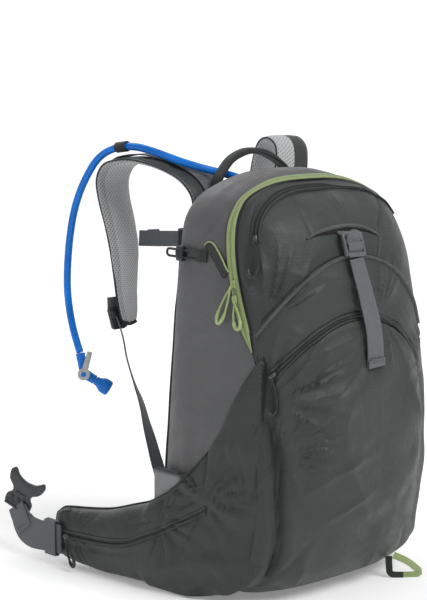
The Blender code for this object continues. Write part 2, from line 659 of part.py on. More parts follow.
def water():
    block("back_frame_sheet", (0, 0.0778, 0.235), WORLD, (0.190, 0.0015, 0.40), "sheet")
    block("reservoir_divider", (0, 0.0305, 0.230), WORLD, (0.226, 0.0012, 0.390), "ripstop_grey")
    bag = block("reservoir", (0, 0.0615, 0.222), WORLD, (0.184, 0.0285, 0.360), "bladder", 0.010)
    boolean(bag, cylinder("filler_neck", (0, 0.055, 0.325), (0, 0.0450, 0.325), 0.036, helper=True), "UNION")
    boolean(bag, cylinder("outlet_neck", (0.02, 0.055, 0.075), (0.02, 0.0450, 0.075), 0.009, helper=True), "UNION")
    cylinder("reservoir_cap", (0, 0.0446, 0.325), (0, 0.0335, 0.325), 0.042, "tube_blue", 28)
    link = cylinder("quick_link", (0.031, 0.0385, 0.075), (-0.016, 0.0385, 0.075), 0.0062, "plastic", 16)
    well = block("button_well", (-0.004, 0.0385, 0.0790), WORLD, (0.0088, 0.0068, 0.008), helper=True)
    boolean(link, well, "DIFFERENCE")
    block("quick_link_button", (-0.004, 0.0385, 0.0802), WORLD, (0.0080, 0.0060, 0.0062), "lever_grey", 0.0008)
    hose = ((-0.0164, 0.0385, 0.075), (-0.040, 0.0385, 0.077), (-0.066, 0.0385, 0.090), (-0.080, 0.0385, 0.120),
            (-0.084, 0.0385, 0.180), (-0.084, 0.0385, 0.260), (-0.082, 0.0385, 0.330), (-0.068, 0.0400, 0.385),
            (-0.0480, 0.0450, 0.4200), (-0.0300, 0.0500, 0.4400), (-0.0180, 0.0602, 0.4602), (-0.0215, 0.0664, 0.4677))
    tube("inner_hose", through(hose, 0.013), TUBE_R, "tube_blue")
    tube("drink_tube", through(TUBE_ROUTE, 0.0125), TUBE_R, "tube_blue")
    start, end = (Vector(p) for p in HOSE_EXIT)
    port = cylinder("tube_port", start.lerp(end, 0.74), start.lerp(end, 0.88), 0.0088, "plastic", 20)
    bore = cylinder("tube_port_bore", HOSE_EXIT[0], Vector(HOSE_EXIT[1]) * 2 - Vector(HOSE_EXIT[0]), TUBE_R + 0.0024,
                    helper=True)
    boolean(port, bore, "DIFFERENCE")
    keeper()
    valve()


def keeper():
    """An elastic sleeve on the shoulder strap that holds the tube."""
    middle, ahead = Vector(TUBE_ROUTE[11]), Vector(TUBE_ROUTE[12]) - Vector(TUBE_ROUTE[10])
    along, across, off = frame_along(ahead, (0, 0, 1))
    sleeve = block("tube_keeper", middle + off * 0.0, (along, across, off), (0.016, 0.0155, 0.0128), "webbing", 0.003)
    bore = cylinder("keeper_bore", middle - along * 0.02, middle + along * 0.02, TUBE_R + 0.0008, helper=True)
    boolean(sleeve, bore, "DIFFERENCE")


def valve():
    end = Vector(TUBE_ROUTE[-1])
    inlet = (HUB - end).normalized()
    out = across_hub(VALVE_OUT)
    elbow = [end + inlet * 0.0014, end + inlet * 0.012, HUB - inlet * 0.003, HUB + out * 0.004, HUB + out * 0.0165]
    tube("valve_elbow", through(elbow, 0.006), 0.0056, "tube_blue", 2)
    up = across_hub(Vector((0.20, -0.18, 0.96)))
    side = HUB + HUB_AXIS * 0.0062
    lever = cylinder("valve_lever", side, side + HUB_AXIS * 0.0035, 0.0078, "lever_grey", 20)
    arm = block("lever_arm", side + HUB_AXIS * 0.00175 + up * 0.0170,
                (up, HUB_AXIS, up.cross(HUB_AXIS)), (0.026, 0.0034, 0.0070), helper=True)
    boolean(lever, arm, "UNION")
    start = HUB + out * 0.0170
    along, across, off = frame_along(out, HUB_AXIS)
    profile = ((0.0, 0.0058), (0.004, 0.0064), (0.009, 0.0094), (0.016, 0.0102), (0.0215, 0.0092))
    rings = []
    for reach, r in profile:
        flat = 1 - 0.30 * reach / 0.0215
        rings.append([start + out * reach + across * (r * math.cos(t)) + off * (r * flat * math.sin(t))
                      for t in [2 * math.pi * i / 16 for i in range(16)]])
    loft("bite_valve", rings, "tube_blue")


# ---------------------------------------------------------------- straps and loops on the body

FRONT_BUCKLE = Vector((-0.0115, -0.0935, 0.4115))
FRONT_TAIL = ((-0.0125, -0.0996, 0.3955), (-0.0105, -0.1040, 0.380), (-0.0060, -0.1110, 0.350), (0.0000, -0.1160, 0.315),
              (0.0055, -0.1190, 0.272))
HAUL = ((-0.0590, 0.0850, 0.4715), (-0.0545, 0.0850, 0.4825), (-0.0374, 0.0850, 0.5005), (-0.0180, 0.0850, 0.5090),
        (-0.0020, 0.0850, 0.5110), (0.0190, 0.0850, 0.5085), (0.0396, 0.0850, 0.4995), (0.0570, 0.0850, 0.4870),
        (0.0660, 0.0850, 0.4700))
LIGHT_LOOP = (  # a point on the loop, and its face's normal there
    (0.0680, -0.0850, 0.0262, -1, 0.9, 0), (0.0675, -0.0862, 0.0150, -1, 0.9, -0.1),
    (0.0690, -0.0880, 0.0045, -0.7, 0.65, -0.7), (0.0800, -0.0980, 0.0030, 0, 0, -1),
    (0.0930, -0.1085, 0.0036, 0.2, -0.2, -1), (0.0950, -0.1100, 0.0075, 0.9, -0.8, -0.3),
    (0.0850, -0.1005, 0.0190, 0.55, -0.5, 0.9), (0.0730, -0.0885, 0.0270, 0.5, -0.45, 1),
)
BUNGEE_ENDS = (Vector((-0.1395, 0.026, 0.398)), Vector((-0.1365, 0.082, 0.398)))
BUNGEE_R = 0.0015


def straps():
    tilt = Vector((0, -0.30, -0.95)).normalized()
    off = Vector((0, -0.95, 0.30)).normalized()
    buckle = block("front_strap_buckle", FRONT_BUCKLE, (WORLD[0], tilt, off), (0.033, 0.027, 0.005), "plastic", 0.0015)
    for k in (-1, 1):
        slot = block(f"front_buckle_slot_{k}", FRONT_BUCKLE + tilt * (0.0055 * k), (WORLD[0], tilt, off),
                     (0.0255, 0.0038, 0.02), helper=True)
        boolean(buckle, slot, "DIFFERENCE")
    ribbon("front_strap", FRONT_TAIL, 0.0245, 0.0022, (0, -1, 0.1), "webbing")
    lean = [(-0.9, 0, 0.3), (-0.8, 0, 0.6), (-0.5, 0, 0.9), (-0.15, 0, 1), (0, 0, 1), (0.15, 0, 1), (0.5, 0, 0.9),
            (0.7, 0, 0.7), (0.9, 0, 0.3)]
    ribbon("haul_loop", HAUL, 0.018, 0.0024, lean, "webbing", 0.012)
    ribbon("light_loop", [p[:3] for p in LIGHT_LOOP], 0.010, 0.0016, [p[3:] for p in LIGHT_LOOP], "lime", 0.008)
    route = [(-side_x(y, z, 0.0030), y, z) for y, z in ((0.0120, 0.4140), (-0.0010, 0.4000), (-0.0110, 0.3865))]
    ribbon("side_strap", route, (0.020, 0.016, 0.010), 0.0016, (-1, 0, 0.1), "webbing")
    a, b = BUNGEE_ENDS
    lift = Vector((0, 0, 0.0042))
    turn = [b + lift * math.cos(t) + Vector((0, 0.0042 * math.sin(t), 0)) for t in np.linspace(0, math.pi, 7)]
    tube("pole_bungee", [a + lift, (a * 2 + b) / 3 + lift, (a + b * 2) / 3 + lift, *turn,
                         (a + b * 2) / 3 - lift, (a * 2 + b) / 3 - lift, a - lift], BUNGEE_R, "plastic", 2)
    centre, along = a + (b - a) * 0.62, (b - a).normalized()
    along, across, off = frame_along(along, (-1, 0, 0))
    lock = block("cord_lock", centre, (along, across, off), (0.011, 0.0175, 0.0080), "plastic", 0.0018)
    for k in (-1, 1):
        c = centre + Vector((0, 0, 0.0042 * k))
        bore = cylinder(f"cord_lock_bore_{k}", c - along * 0.02, c + along * 0.02, BUNGEE_R + 0.0006, sides=12,
                        helper=True)
        boolean(lock, bore, "DIFFERENCE")


def main():
    for obj in list(bpy.data.objects):
        bpy.data.objects.remove(obj)
    walls()
    front_pockets()
    zippers()
    wings()
    harness()
    water()
    straps()


main()
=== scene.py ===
import itertools
import math

import bmesh
import bpy
import numpy as np
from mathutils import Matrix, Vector
from mathutils.bvhtree import BVHTree


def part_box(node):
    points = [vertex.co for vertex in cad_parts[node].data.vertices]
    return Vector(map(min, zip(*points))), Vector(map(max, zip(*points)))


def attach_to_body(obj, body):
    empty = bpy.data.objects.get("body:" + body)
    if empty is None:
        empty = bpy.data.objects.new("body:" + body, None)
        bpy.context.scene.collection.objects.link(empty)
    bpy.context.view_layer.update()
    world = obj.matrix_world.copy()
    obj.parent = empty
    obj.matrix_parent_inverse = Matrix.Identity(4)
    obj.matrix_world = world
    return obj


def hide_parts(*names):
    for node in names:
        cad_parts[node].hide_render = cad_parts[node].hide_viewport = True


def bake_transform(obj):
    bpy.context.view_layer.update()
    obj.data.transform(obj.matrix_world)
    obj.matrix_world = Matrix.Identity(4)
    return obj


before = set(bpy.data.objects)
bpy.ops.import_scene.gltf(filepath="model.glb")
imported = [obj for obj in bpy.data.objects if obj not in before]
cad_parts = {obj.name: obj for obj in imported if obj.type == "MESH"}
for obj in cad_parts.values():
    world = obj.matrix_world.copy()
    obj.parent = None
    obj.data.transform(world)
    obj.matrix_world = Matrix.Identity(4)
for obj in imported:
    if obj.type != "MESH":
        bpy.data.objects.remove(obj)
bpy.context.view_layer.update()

FINE = 0.0025  # spacing of the fabric grids
ARCH_POINTS = 190  # along a seam over the top of the pack

# ---------------------------------------------------------------- the pack body, as in the CAD part

LEVELS = (0, 0.012, 0.04, 0.12, 0.20, 0.30, 0.38, 0.43, 0.458, 0.476, 0.485, 0.488)
HALF_WIDTHS = (0.104, 0.129, 0.147, 0.152, 0.148, 0.142, 0.136, 0.129, 0.113, 0.080, 0.046, 0.022)
FRONTS = (-0.034, -0.066, -0.093, -0.112, -0.118, -0.110, -0.095, -0.073, -0.049, -0.018, -0.001, 0.010)
BACKS = (0.088, 0.098, 0.103, 0.104, 0.101, 0.096, 0.093, 0.090, 0.084, 0.072, 0.060, 0.050)
MIDDLE_Y, FRONT_POWER, BACK_POWER, HEIGHT = 0.010, 3.0, 5.0, 0.488
SEAM_Z = (0, 0.04, 0.10, 0.20, 0.26, 0.295, 0.33, 0.36, 0.39, 0.42, 0.45, 0.475, 0.488)
SEAM_Y = (-0.060, -0.071, -0.076, -0.070, -0.066, -0.055, -0.041, -0.031, -0.022, -0.016, -0.012, -0.008, -0.004)
ZIP_END, ZIP_HALF, BASE_TOP, BACK_Y = 0.293, 0.0065, 0.0225, 0.0805
STASH_ARC, POCKET_ARC = (-0.012, 0.270, 0.127), (-0.018, 0.205, 0.125)
TOP_ARCH = (-0.003, 0.400, 0.118, 0.072, 2.8)
POCKET_SPAN, TOP_SPAN = (149.5, 30), (172, 22)
FOLD_LOW, FOLD_HIGH = (0, -0.11, 0.300), (0, -0.11, 0.372)  # the two ends of the flap's fold line, passed on by attach_flap
WEB, WEB_WIDTH = 0.0018, 0.0200  # the straps' webbing
STRAP_HALF = 0.0046  # half a shoulder strap's thickness before it is filled
FABRIC = 0.0012  # thickness of the body's fabric
BUNGEE_Z = 0.398  # height of the cord that holds poles


def interp(xs, ys, x):
    """A smooth curve through the points that never overshoots them, at any number of places."""
    xs, ys, x = np.array(xs, float), np.array(ys, float), np.asarray(x, float)
    step, slope = np.diff(xs), np.diff(ys) / np.diff(xs)
    m = np.concatenate([[slope[0]], np.zeros(len(xs) - 2), [slope[-1]]])
    for i in range(1, len(xs) - 1):
        if slope[i - 1] * slope[i] > 0:
            a, b = 2 * step[i] + step[i - 1], step[i] + 2 * step[i - 1]
            m[i] = (a + b) / (a / slope[i - 1] + b / slope[i])
    i = np.clip(np.searchsorted(xs, x) - 1, 0, len(xs) - 2)
    t = (x - xs[i]) / step[i]
    return ((2 * t**3 - 3 * t**2 + 1) * ys[i] + (t**3 - 2 * t**2 + t) * step[i] * m[i]
            + (3 * t**2 - 2 * t**3) * ys[i + 1] + (t**3 - t**2) * step[i] * m[i + 1])


def section(z):
    """The half width, the front and the back of the body at a height."""
    z = np.clip(z, 0, HEIGHT)
    return interp(LEVELS, HALF_WIDTHS, z), interp(LEVELS, FRONTS, z), interp(LEVELS, BACKS, z)


def front_y(x, z):
    """The smooth front's y."""
    w, front, _ = section(z)
    return MIDDLE_Y - (MIDDLE_Y - front) * np.maximum(0.0, 1 - np.abs(x / w) ** FRONT_POWER) ** (1 / FRONT_POWER)


def side_x(y, z):
    """The smooth side's distance from the middle."""
    w, front, back = section(z)
    rear = y > MIDDLE_Y
    power, reach = np.where(rear, BACK_POWER, FRONT_POWER), np.where(rear, back - MIDDLE_Y, MIDDLE_Y - front)
    reach = np.maximum(reach, 1e-4)
    inside = np.maximum(0.0, 1 - np.abs((y - MIDDLE_Y) / reach) ** power) ** (1 / power)
    return np.where(z > HEIGHT, 0.0, w * inside)


def seam(z):
    """The main zip's y at a height."""
    return interp(SEAM_Z, SEAM_Y, np.clip(z, 0, HEIGHT))


def lower_edge(z):
    """Below the wings the front's fabric reaches further round the sides."""
    return 0.034 * smooth(0.080, 0.026, z)


def smooth(a, b, x):
    """0 at a and 1 at b, with a soft start and end."""
    t = np.clip((np.asarray(x, float) - a) / (b - a), 0, 1)
    return t * t * (3 - 2 * t)


def tape_half(z):
    """Half the width of the main zip's tape."""
    return ZIP_HALF * smooth(ZIP_END, ZIP_END + 0.035, z) * (1 - 0.42 * smooth(0.425, 0.475, z))


def unit(v):
    """Vectors of length one."""
    v = np.asarray(v, float)
    return v / np.maximum(np.linalg.norm(v, axis=-1, keepdims=True), 1e-12)


def lengths(points):
    """How far along its line each point is."""
    return np.concatenate([[0], np.cumsum(np.linalg.norm(np.diff(points, axis=0), axis=1))])


def circle(count):
    """The angles of this many equal steps round a circle."""
    return np.arange(count) * 2 * math.pi / count


def ring_of(centre, a, b, count):
    """Points on an ellipse round a centre; a and b are its half axes."""
    return [centre + a * math.cos(t) + b * math.sin(t) for t in circle(count)]


def placed(origin, *axes):
    """Turns distances along the axes into points."""
    return lambda *steps: np.array(origin, float) + sum(axis * step for axis, step in zip(axes, steps))


def groove(distance, width):
    """1 on a line and next to nothing beyond its width."""
    return np.exp(-((distance / width) ** 2))


def to_segment(u, v, u0, v0, u1, v1):
    """How far along a segment each point lies, from 0 to 1, and its distance from it."""
    t = np.clip(((u - u0) * (u1 - u0) + (v - v0) * (v1 - v0)) / ((u1 - u0) ** 2 + (v1 - v0) ** 2), 0, 1)
    return t, np.hypot(u - u0 - t * (u1 - u0), v - v0 - t * (v1 - v0))


def normals(grid):
    """The direction off a grid of points, at each of them."""
    return unit(np.cross(np.gradient(grid, axis=1), np.gradient(grid, axis=0)))


def outer_normals(grid):
    """The same, turned away from the middle of the pack."""
    n = normals(grid)
    return np.where((n[..., :1] * grid[..., :1] + n[..., 2:] * (grid[..., 2:] - 0.30)) < 0, -n, n)


def quads_of(rows, cols):
    """The faces of a grid, as numbers of its points."""
    return [(i * cols + j, i * cols + j + 1, (i + 1) * cols + j + 1, (i + 1) * cols + j)
            for i in range(rows - 1) for j in range(cols - 1)]


def rim_of(rows, cols):
    """A grid's edge points in order, as rows and columns."""
    rim = [(0, j) for j in range(cols)] + [(i, cols - 1) for i in range(1, rows)]
    return rim + [(rows - 1, j) for j in range(cols - 2, -1, -1)] + [(i, 0) for i in range(rows - 2, 0, -1)]


def edge_quads(rows, cols):
    """The faces that close the gap between a grid and its copy behind it."""
    side, rim = rows * cols, rim_of(rows, cols)
    return [(a * cols + b, c * cols + d, side + c * cols + d, side + a * cols + b)
            for (a, b), (c, d) in zip(rim, rim[1:] + rim[:1])]


def through(points, spacing):
    """Points about this far apart on a smooth curve through the given ones; extra columns go along."""
    p = np.array(points, float)
    s = lengths(p[:, :3])
    ends = np.vstack([2 * p[0] - p[1], p, 2 * p[-1] - p[-2]])
    out = []
    for i in range(len(p) - 1):
        a, b, c, d = ends[i : i + 4]
        count = max(1, round((s[i + 1] - s[i]) / spacing))
        for t in np.arange(count) / count:
            square, cube = 2 * a - 5 * b + 4 * c - d, 3 * b - a - 3 * c + d
            out.append(0.5 * (2 * b + (c - a) * t + square * t**2 + cube * t**3))
    return np.array(out + [p[-1]])


def even(points, count):
    """The same line, cut into this many equal steps."""
    s = lengths(points)
    at = np.linspace(0, s[-1], count + 1)
    return np.stack([np.interp(at, s, points[:, k]) for k in range(points.shape[1])], 1)


def noise(p, seed=0):
    """Smooth repeatable noise from -1 to 1 at points of any dimension."""
    p = np.asarray(p, float)
    cell = np.floor(p)
    f = p - cell
    f = f * f * f * (f * (f * 6 - 15) + 10)
    total = 0
    for corner in itertools.product((0, 1), repeat=p.shape[-1]):
        dots = (cell + corner) @ np.array((127.1, 311.7, 74.7)[: p.shape[-1]]) + seed * 19.19
        value = np.mod(np.sin(dots) * 43758.5453, 1) * 2 - 1
        total = total + value * np.prod(np.where(np.array(corner) == 1, f, 1 - f), axis=-1)
    return total


def folds(u, v, seed=0, sharp=2.0):
    """Soft creases: ridges that wander, narrow at the top and wide between."""
    u = u + 0.35 * noise(np.stack([u * 0.7, v * 0.7], -1), seed + 5)
    n = noise(np.stack([u, v], -1), seed)
    return (1 - np.abs(n) * 1.6).clip(0, 1) ** sharp


# ---------------------------------------------------------------- building pieces


class Piece:
    """One named object, put together from sweeps, sheets and blocks."""

    def __init__(self, name):
        self.name, self.count = name, 0
        self.points, self.faces, self.uvs, self.index, self.materials = [], [], [], [], []

    def add(self, points, faces, material, uvs=None):
        if material not in self.materials:
            self.materials.append(material)
        self.points.append(np.asarray(points, float).reshape(-1, 3))
        for k, face in enumerate(faces):
            self.faces.append(tuple(self.count + i for i in face))
            self.uvs.append(uvs[k] if uvs is not None else [(0, 0)] * len(face))
            self.index.append(self.materials.index(material))
        self.count += len(self.points[-1])

    def done(self, sharp=42):
        mesh = bpy.data.meshes.new(self.name)
        mesh.from_pydata(np.concatenate(self.points).tolist(), [], self.faces)
        layer = mesh.uv_layers.new(name="UVMap")
        layer.data.foreach_set("uv", np.array([c for uv in self.uvs for corner in uv for c in corner], np.float32))
        mesh.polygons.foreach_set("material_index", self.index)
        for m in self.materials:
            mesh.materials.append(m)
        bm = bmesh.new()
        bm.from_mesh(mesh)
        bmesh.ops.recalc_face_normals(bm, faces=bm.faces)
        bm.to_mesh(mesh)
        bm.free()
        mesh.shade_smooth()
        mesh.set_sharp_from_angle(angle=math.radians(sharp))
        obj = bpy.data.objects.new(self.name, mesh)
        bpy.context.scene.collection.objects.link(obj)
        return obj

    def rings(self, rings, material, closed=False, caps=True):
        """A skin over rings of equal length, with caps at its ends; its UVs are in metres."""
        rings = np.asarray(rings, float)
        n, m = rings.shape[:2]
        s = lengths(rings.mean(1))
        around = lengths(np.vstack([rings[n // 2], rings[n // 2][:1]]))
        faces, uvs = [], []
        for r in range(n if closed else n - 1):
            q = (r + 1) % n
            s0, s1 = s[r], (s[q] if q else s[-1] + 0.002)
            for i in range(m):
                j = (i + 1) % m
                faces.append((r * m + i, r * m + j, q * m + j, q * m + i))
                uvs.append([(around[i], s0), (around[i + 1], s0), (around[i + 1], s1), (around[i], s1)])
        self.add(rings, faces, material, uvs)
        if caps and not closed:
            base = self.count - n * m
            for r in (0, n - 1):
                self.faces.append(tuple(base + r * m + i for i in range(m)))
                self.uvs.append([(0, 0)] * m)
                self.index.append(self.materials.index(material))

    def sweep(self, path, profile, ups, material, scale=None, closed=False, caps=True):
        """A profile (across, off) carried along a path; scale is per point."""
        p = np.array(path, float)
        step = np.roll(p, -1, 0) - np.roll(p, 1, 0) if closed else np.gradient(p, axis=0)
        along = unit(step)
        ups = np.broadcast_to(np.array(ups, float), p.shape)
        across = unit(np.cross(along, ups))
        off = np.cross(across, along)
        profile = np.array(profile, float)
        scale = np.ones((len(p), 2)) if scale is None else np.array(scale, float)
        rings = (p[:, None] + across[:, None] * (profile[None, :, 0] * scale[:, :1])[..., None]
                 + off[:, None] * (profile[None, :, 1] * scale[:, 1:])[..., None])
        self.rings(rings, material, closed, caps)

    def tube(self, path, radius, material, closed=False, sides=12):
        """A round cord or pipe; radius is one value or one per point."""
        p = np.array(path, float)
        t = circle(sides)
        along = unit(np.roll(p, -1, 0) - np.roll(p, 1, 0) if closed else np.gradient(p, axis=0))
        up = np.array((0.31, 0.27, 0.91))
        ups = []
        for a in along:
            up = unit(up - a * (up @ a))
            ups.append(up)
        r = np.broadcast_to(np.array(radius, float), len(p))
        self.sweep(p, np.stack([np.cos(t), np.sin(t)], 1), ups, material, np.stack([r, r], 1), closed)

    def sheet(self, grid, thick, material, flip=False, inner=None):
        """A sheet of fabric of this thickness under a grid of points, with UVs in metres."""
        grid = np.asarray(grid, float)
        rows, cols = grid.shape[:2]
        normal = normals(grid)
        if flip:
            normal = -normal
        inside = grid - normal * thick
        u = np.cumsum(np.concatenate([np.zeros((rows, 1)), np.linalg.norm(np.diff(grid, axis=1), axis=2)], 1), 1)
        u = u - u[:, cols // 2][:, None]
        v = np.cumsum(np.concatenate([np.zeros((1, cols)), np.linalg.norm(np.diff(grid, axis=0), axis=2)], 0), 0)
        v = np.repeat(v[:, cols // 2][:, None], cols, 1)
        side, faces = rows * cols, quads_of(rows, cols)
        back = [tuple(side + k for k in quad) for quad in faces]
        front = faces + edge_quads(rows, cols)
        uvs = [[(u.flat[k % side], v.flat[k % side]) for k in quad] for quad in front]
        start = self.count
        self.add(np.concatenate([grid.reshape(-1, 3), inside.reshape(-1, 3)]), front, material, uvs)
        lining = inner or material
        if lining not in self.materials:
            self.materials.append(lining)
        for quad, uv in zip(back, uvs):
            self.faces.append(tuple(start + k for k in quad))
            self.uvs.append(uv)
            self.index.append(self.materials.index(lining))

    def block(self, centre, axes, size, material, bevel=0.0006, taper=1.0):
        """A moulded block with rounded edges; its far end along the first axis may be narrower."""
        a, b, c = (unit(v) for v in axes)
        hx, hy, hz = (s / 2 for s in size)
        r = min(bevel, hx * 0.9, hy * 0.9, hz * 0.9)
        rows = [(-hx, r), (-hx + 0.3 * r, 0.3 * r), (-hx + r, 0), (hx - r, 0), (hx - 0.3 * r, 0.3 * r), (hx, r)]
        rings = []
        for x, inset in rows:
            t = (x + hx) / (2 * hx)
            wy, wz = (hy - inset) * (1 + (taper - 1) * t), (hz - inset)
            ring = []
            for sy, sz in ((1, 1), (-1, 1), (-1, -1), (1, -1)):
                arc = [(wy - r + r * math.cos(q), wz - r + r * math.sin(q)) for q in (0, math.pi / 4, math.pi / 2)]
                if sy * sz < 0:
                    arc = arc[::-1]
                ring += [(sy * y, sz * z) for y, z in arc]
            rings.append([np.array(centre, float) + a * x + b * y + c * z for y, z in ring])
        self.rings(rings, material)


def strip_profile(width, thick, crown=0.0):
    """A flat band's section with rounded edges."""
    h, t = width / 2, thick / 2
    r = min(t, h)
    arc = [(h - r + r * math.cos(q), t * math.sin(q)) for q in np.linspace(-math.pi / 2, math.pi / 2, 5)]
    top = [(x, t + crown * (1 - (x / h) ** 2)) for x in np.linspace(h - r, -(h - r), 9)[1:-1]]
    low = [(x, -t) for x in np.linspace(-(h - r), h - r, 9)[1:-1]]
    return arc + top + [(-x, -y) for x, y in arc] + low


def labelled(obj, nodes):
    """Hides the CAD nodes that the piece stands for."""
    if nodes:
        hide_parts(*nodes)
    return obj


def attach(obj, body, *nodes, slot=None):
    """The piece moves with one body."""
    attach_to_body(obj, body)
    return labelled(obj, nodes)


def attach_fold(obj, a, b, start, end, *nodes, slot=None):
    """Bakes the piece's placement into its points and hides the CAD nodes it stands for."""
    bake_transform(obj)
    return labelled(obj, nodes)


def attach_flap(obj, *nodes, slot="ripstop_dark"):
    """Passes the pack, the flap and the flap's fold line on to attach_fold."""
    return attach_fold(obj, "pack", "flap", FOLD_LOW, FOLD_HIGH, *nodes, slot=slot)


def look_of(node, look):
    """The CAD solid itself is shown, in this material."""
    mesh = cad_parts[node].data
    mesh.materials.clear()
    mesh.materials.append(M[look])


def pad_out(obj, held, cap, pressure=4.0, frames=14, stiff=15.0):
    """Inflates a closed piece as cloth; held is each point's share of hold, cap the farthest a point may move."""
    rest = np.array([v.co for v in obj.data.vertices], float)
    group = obj.vertex_groups.new(name="held")
    for i, w in enumerate(held):
        if w > 0:
            group.add([i], float(w), "REPLACE")
    cloth = obj.modifiers.new("cloth", "CLOTH")
    s = cloth.settings
    s.quality, s.mass, s.air_damping = 5, 0.25, 2.0
    s.tension_stiffness = s.compression_stiffness = stiff
    s.shear_stiffness, s.bending_stiffness = stiff / 3, 0.4
    s.use_pressure, s.uniform_pressure_force = True, pressure
    s.vertex_group_mass = "held"
    s.effector_weights.gravity = 0
    cloth.collision_settings.use_collision = False
    cloth.point_cache.frame_start, cloth.point_cache.frame_end = 1, frames
    for f in range(1, frames + 1):
        bpy.context.scene.frame_set(f)
    moved = obj.evaluated_get(bpy.context.evaluated_depsgraph_get()).to_mesh()
    now = np.array([v.co for v in moved.vertices], float)
    obj.modifiers.remove(cloth)
    obj.vertex_groups.clear()
    bpy.context.scene.frame_set(1)
    d = now - rest
    d = np.where(np.isfinite(d), d, 0)
    length = np.linalg.norm(d, axis=1, keepdims=True)
    cap = np.broadcast_to(np.array(cap, float), len(rest))[:, None]
    d *= np.minimum(1, cap / np.maximum(length, 1e-9))
    obj.data.vertices.foreach_set("co", (rest + d).astype(np.float32).ravel())
    obj.data.update()
    return obj


def finer(obj):
    """One subdivision, applied."""
    m = obj.modifiers.new("finer", "SUBSURF")
    m.levels = m.render_levels = 1
    bpy.context.view_layer.objects.active = obj
    with bpy.context.temp_override(object=obj, active_object=obj, selected_objects=[obj]):
        bpy.ops.object.modifier_apply(modifier=m.name)
    return obj


def move_points(obj, offset):
    """Adds offset(points, normals) to a mesh's points."""
    me = obj.data
    co = np.array([v.co for v in me.vertices], float)
    no = np.array([v.normal for v in me.vertices], float)
    me.vertices.foreach_set("co", (co + offset(co, no)).astype(np.float32).ravel())
    me.update()
    return obj


# ---------------------------------------------------------------- materials


class Look:
    """A Principled material with its nodes; coordinates are metres on the piece's own UV, or in its object."""

    def __init__(self, name, colour, rough, metallic=0.0, sheen=0.0, coat=0.0, specular=0.5, uv=True):
        self.m = bpy.data.materials.new(name)
        self.m.use_nodes = True
        self.nodes, self.links = self.m.node_tree.nodes, self.m.node_tree.links
        self.shader = self.nodes["Principled BSDF"]
        for key, value in (("Roughness", rough), ("Metallic", metallic), ("Sheen Weight", sheen),
                           ("Coat Weight", coat), ("Specular IOR Level", specular), ("Base Color", (*colour, 1))):
            self.shader.inputs[key].default_value = value
        self.place = self.node("ShaderNodeTexCoord").outputs["UV" if uv else "Object"]
        self.height = None

    def put(self, socket, value):
        """Links a socket to the input, or sets the input's number or colour."""
        if hasattr(value, "is_linked"):
            self.links.new(value, socket)
        else:
            colour = socket.type == "RGBA" and len(value) == 3
            socket.default_value = (*value, 1) if colour else value

    def node(self, kind, **inputs):
        n = self.nodes.new(kind)
        for key, value in inputs.items():
            self.put(n.inputs[key.replace("_", " ")], value)
        return n

    def noise(self, scale, detail=3.0, rough=0.6, place=None):
        n = self.node("ShaderNodeTexNoise", Vector=place or self.place, Scale=scale, Detail=detail, Roughness=rough)
        return n.outputs["Fac"]

    def turned(self, angle=0.0, scale=(1, 1, 1)):
        n = self.node("ShaderNodeMapping", Vector=self.place, Rotation=(0, 0, math.radians(angle)), Scale=scale)
        return n.outputs["Vector"]

    def wave(self, pitch, axis="X", place=None, profile="SIN"):
        """Stripes this far apart in metres, across the given axis."""
        n = self.node("ShaderNodeTexWave", Vector=place or self.place, Scale=2 * math.pi / pitch / 20)
        n.wave_type, n.bands_direction, n.wave_profile = "BANDS", axis, profile
        return n.outputs["Fac"]

    def math(self, what, a, b=0.0):
        n = self.nodes.new("ShaderNodeMath")
        n.operation = what
        for socket, value in zip(n.inputs, (a, b)):
            self.put(socket, value)
        return n.outputs[0]

    def span(self, value, low, high, to_low=0.0, to_high=1.0):
        n = self.node("ShaderNodeMapRange", Value=value)
        for key, v in (("From Min", low), ("From Max", high), ("To Min", to_low), ("To Max", to_high)):
            n.inputs[key].default_value = v
        return n.outputs["Result"]

    def mix(self, fac, a, b):
        n = self.nodes.new("ShaderNodeMix")
        n.data_type = "RGBA"
        for index, value in ((0, fac), (6, a), (7, b)):  # the factor and the two colours
            self.put(n.inputs[index], value)
        return n.outputs[2]

    def colour(self, socket):
        self.links.new(socket, self.shader.inputs["Base Color"])
        return self

    def rough(self, socket):
        self.links.new(socket, self.shader.inputs["Roughness"])
        return self

    def bump(self, height, distance, strength=1.0):
        n = self.node("ShaderNodeBump", Height=height, Distance=distance, Strength=strength)
        if self.height:
            self.links.new(self.height, n.inputs["Normal"])
        self.height = n.outputs["Normal"]
        self.links.new(self.height, self.shader.inputs["Normal"])
        return self


def shade(c, k):
    """A colour made lighter or darker."""
    return tuple(v * k for v in c)


def ripstop(name, c, uv=True, pitch=0.0042, across="X", up="Y", rough=0.50, grid=0.60):
    """Tight nylon with a fine check of thicker threads, faint wear and small puckers."""
    k = Look(name, c, rough, sheen=0.05, uv=uv, specular=0.32)
    line = lambda axis: k.span(k.wave(pitch, axis), 0.88, 1.0)
    check = k.math("MAXIMUM", line(across), line(up))
    weave = k.math("MULTIPLY", k.wave(0.0009, across), k.wave(0.0009, up))
    cloud = k.span(k.noise(9, 3), 0.35, 0.7)
    fine = k.span(k.noise(420, 2), 0.3, 0.7)
    tone = k.mix(cloud, shade(c, 0.88), shade(c, 1.10))
    tone = k.mix(k.math("MULTIPLY", fine, 0.35), tone, shade(c, 1.25))
    tone = k.mix(k.math("MULTIPLY", check, grid), tone, shade(c, 1.38))
    k.colour(tone).rough(k.span(k.noise(60, 3), 0.3, 0.7, rough - 0.10, rough + 0.08))
    k.bump(k.noise(26, 3, 0.50), 0.0040, 0.45)
    k.bump(k.noise(110, 2), 0.0007, 0.5)
    k.bump(check, 0.00012, 0.6)
    k.bump(weave, 0.00008, 0.5)
    return k.m


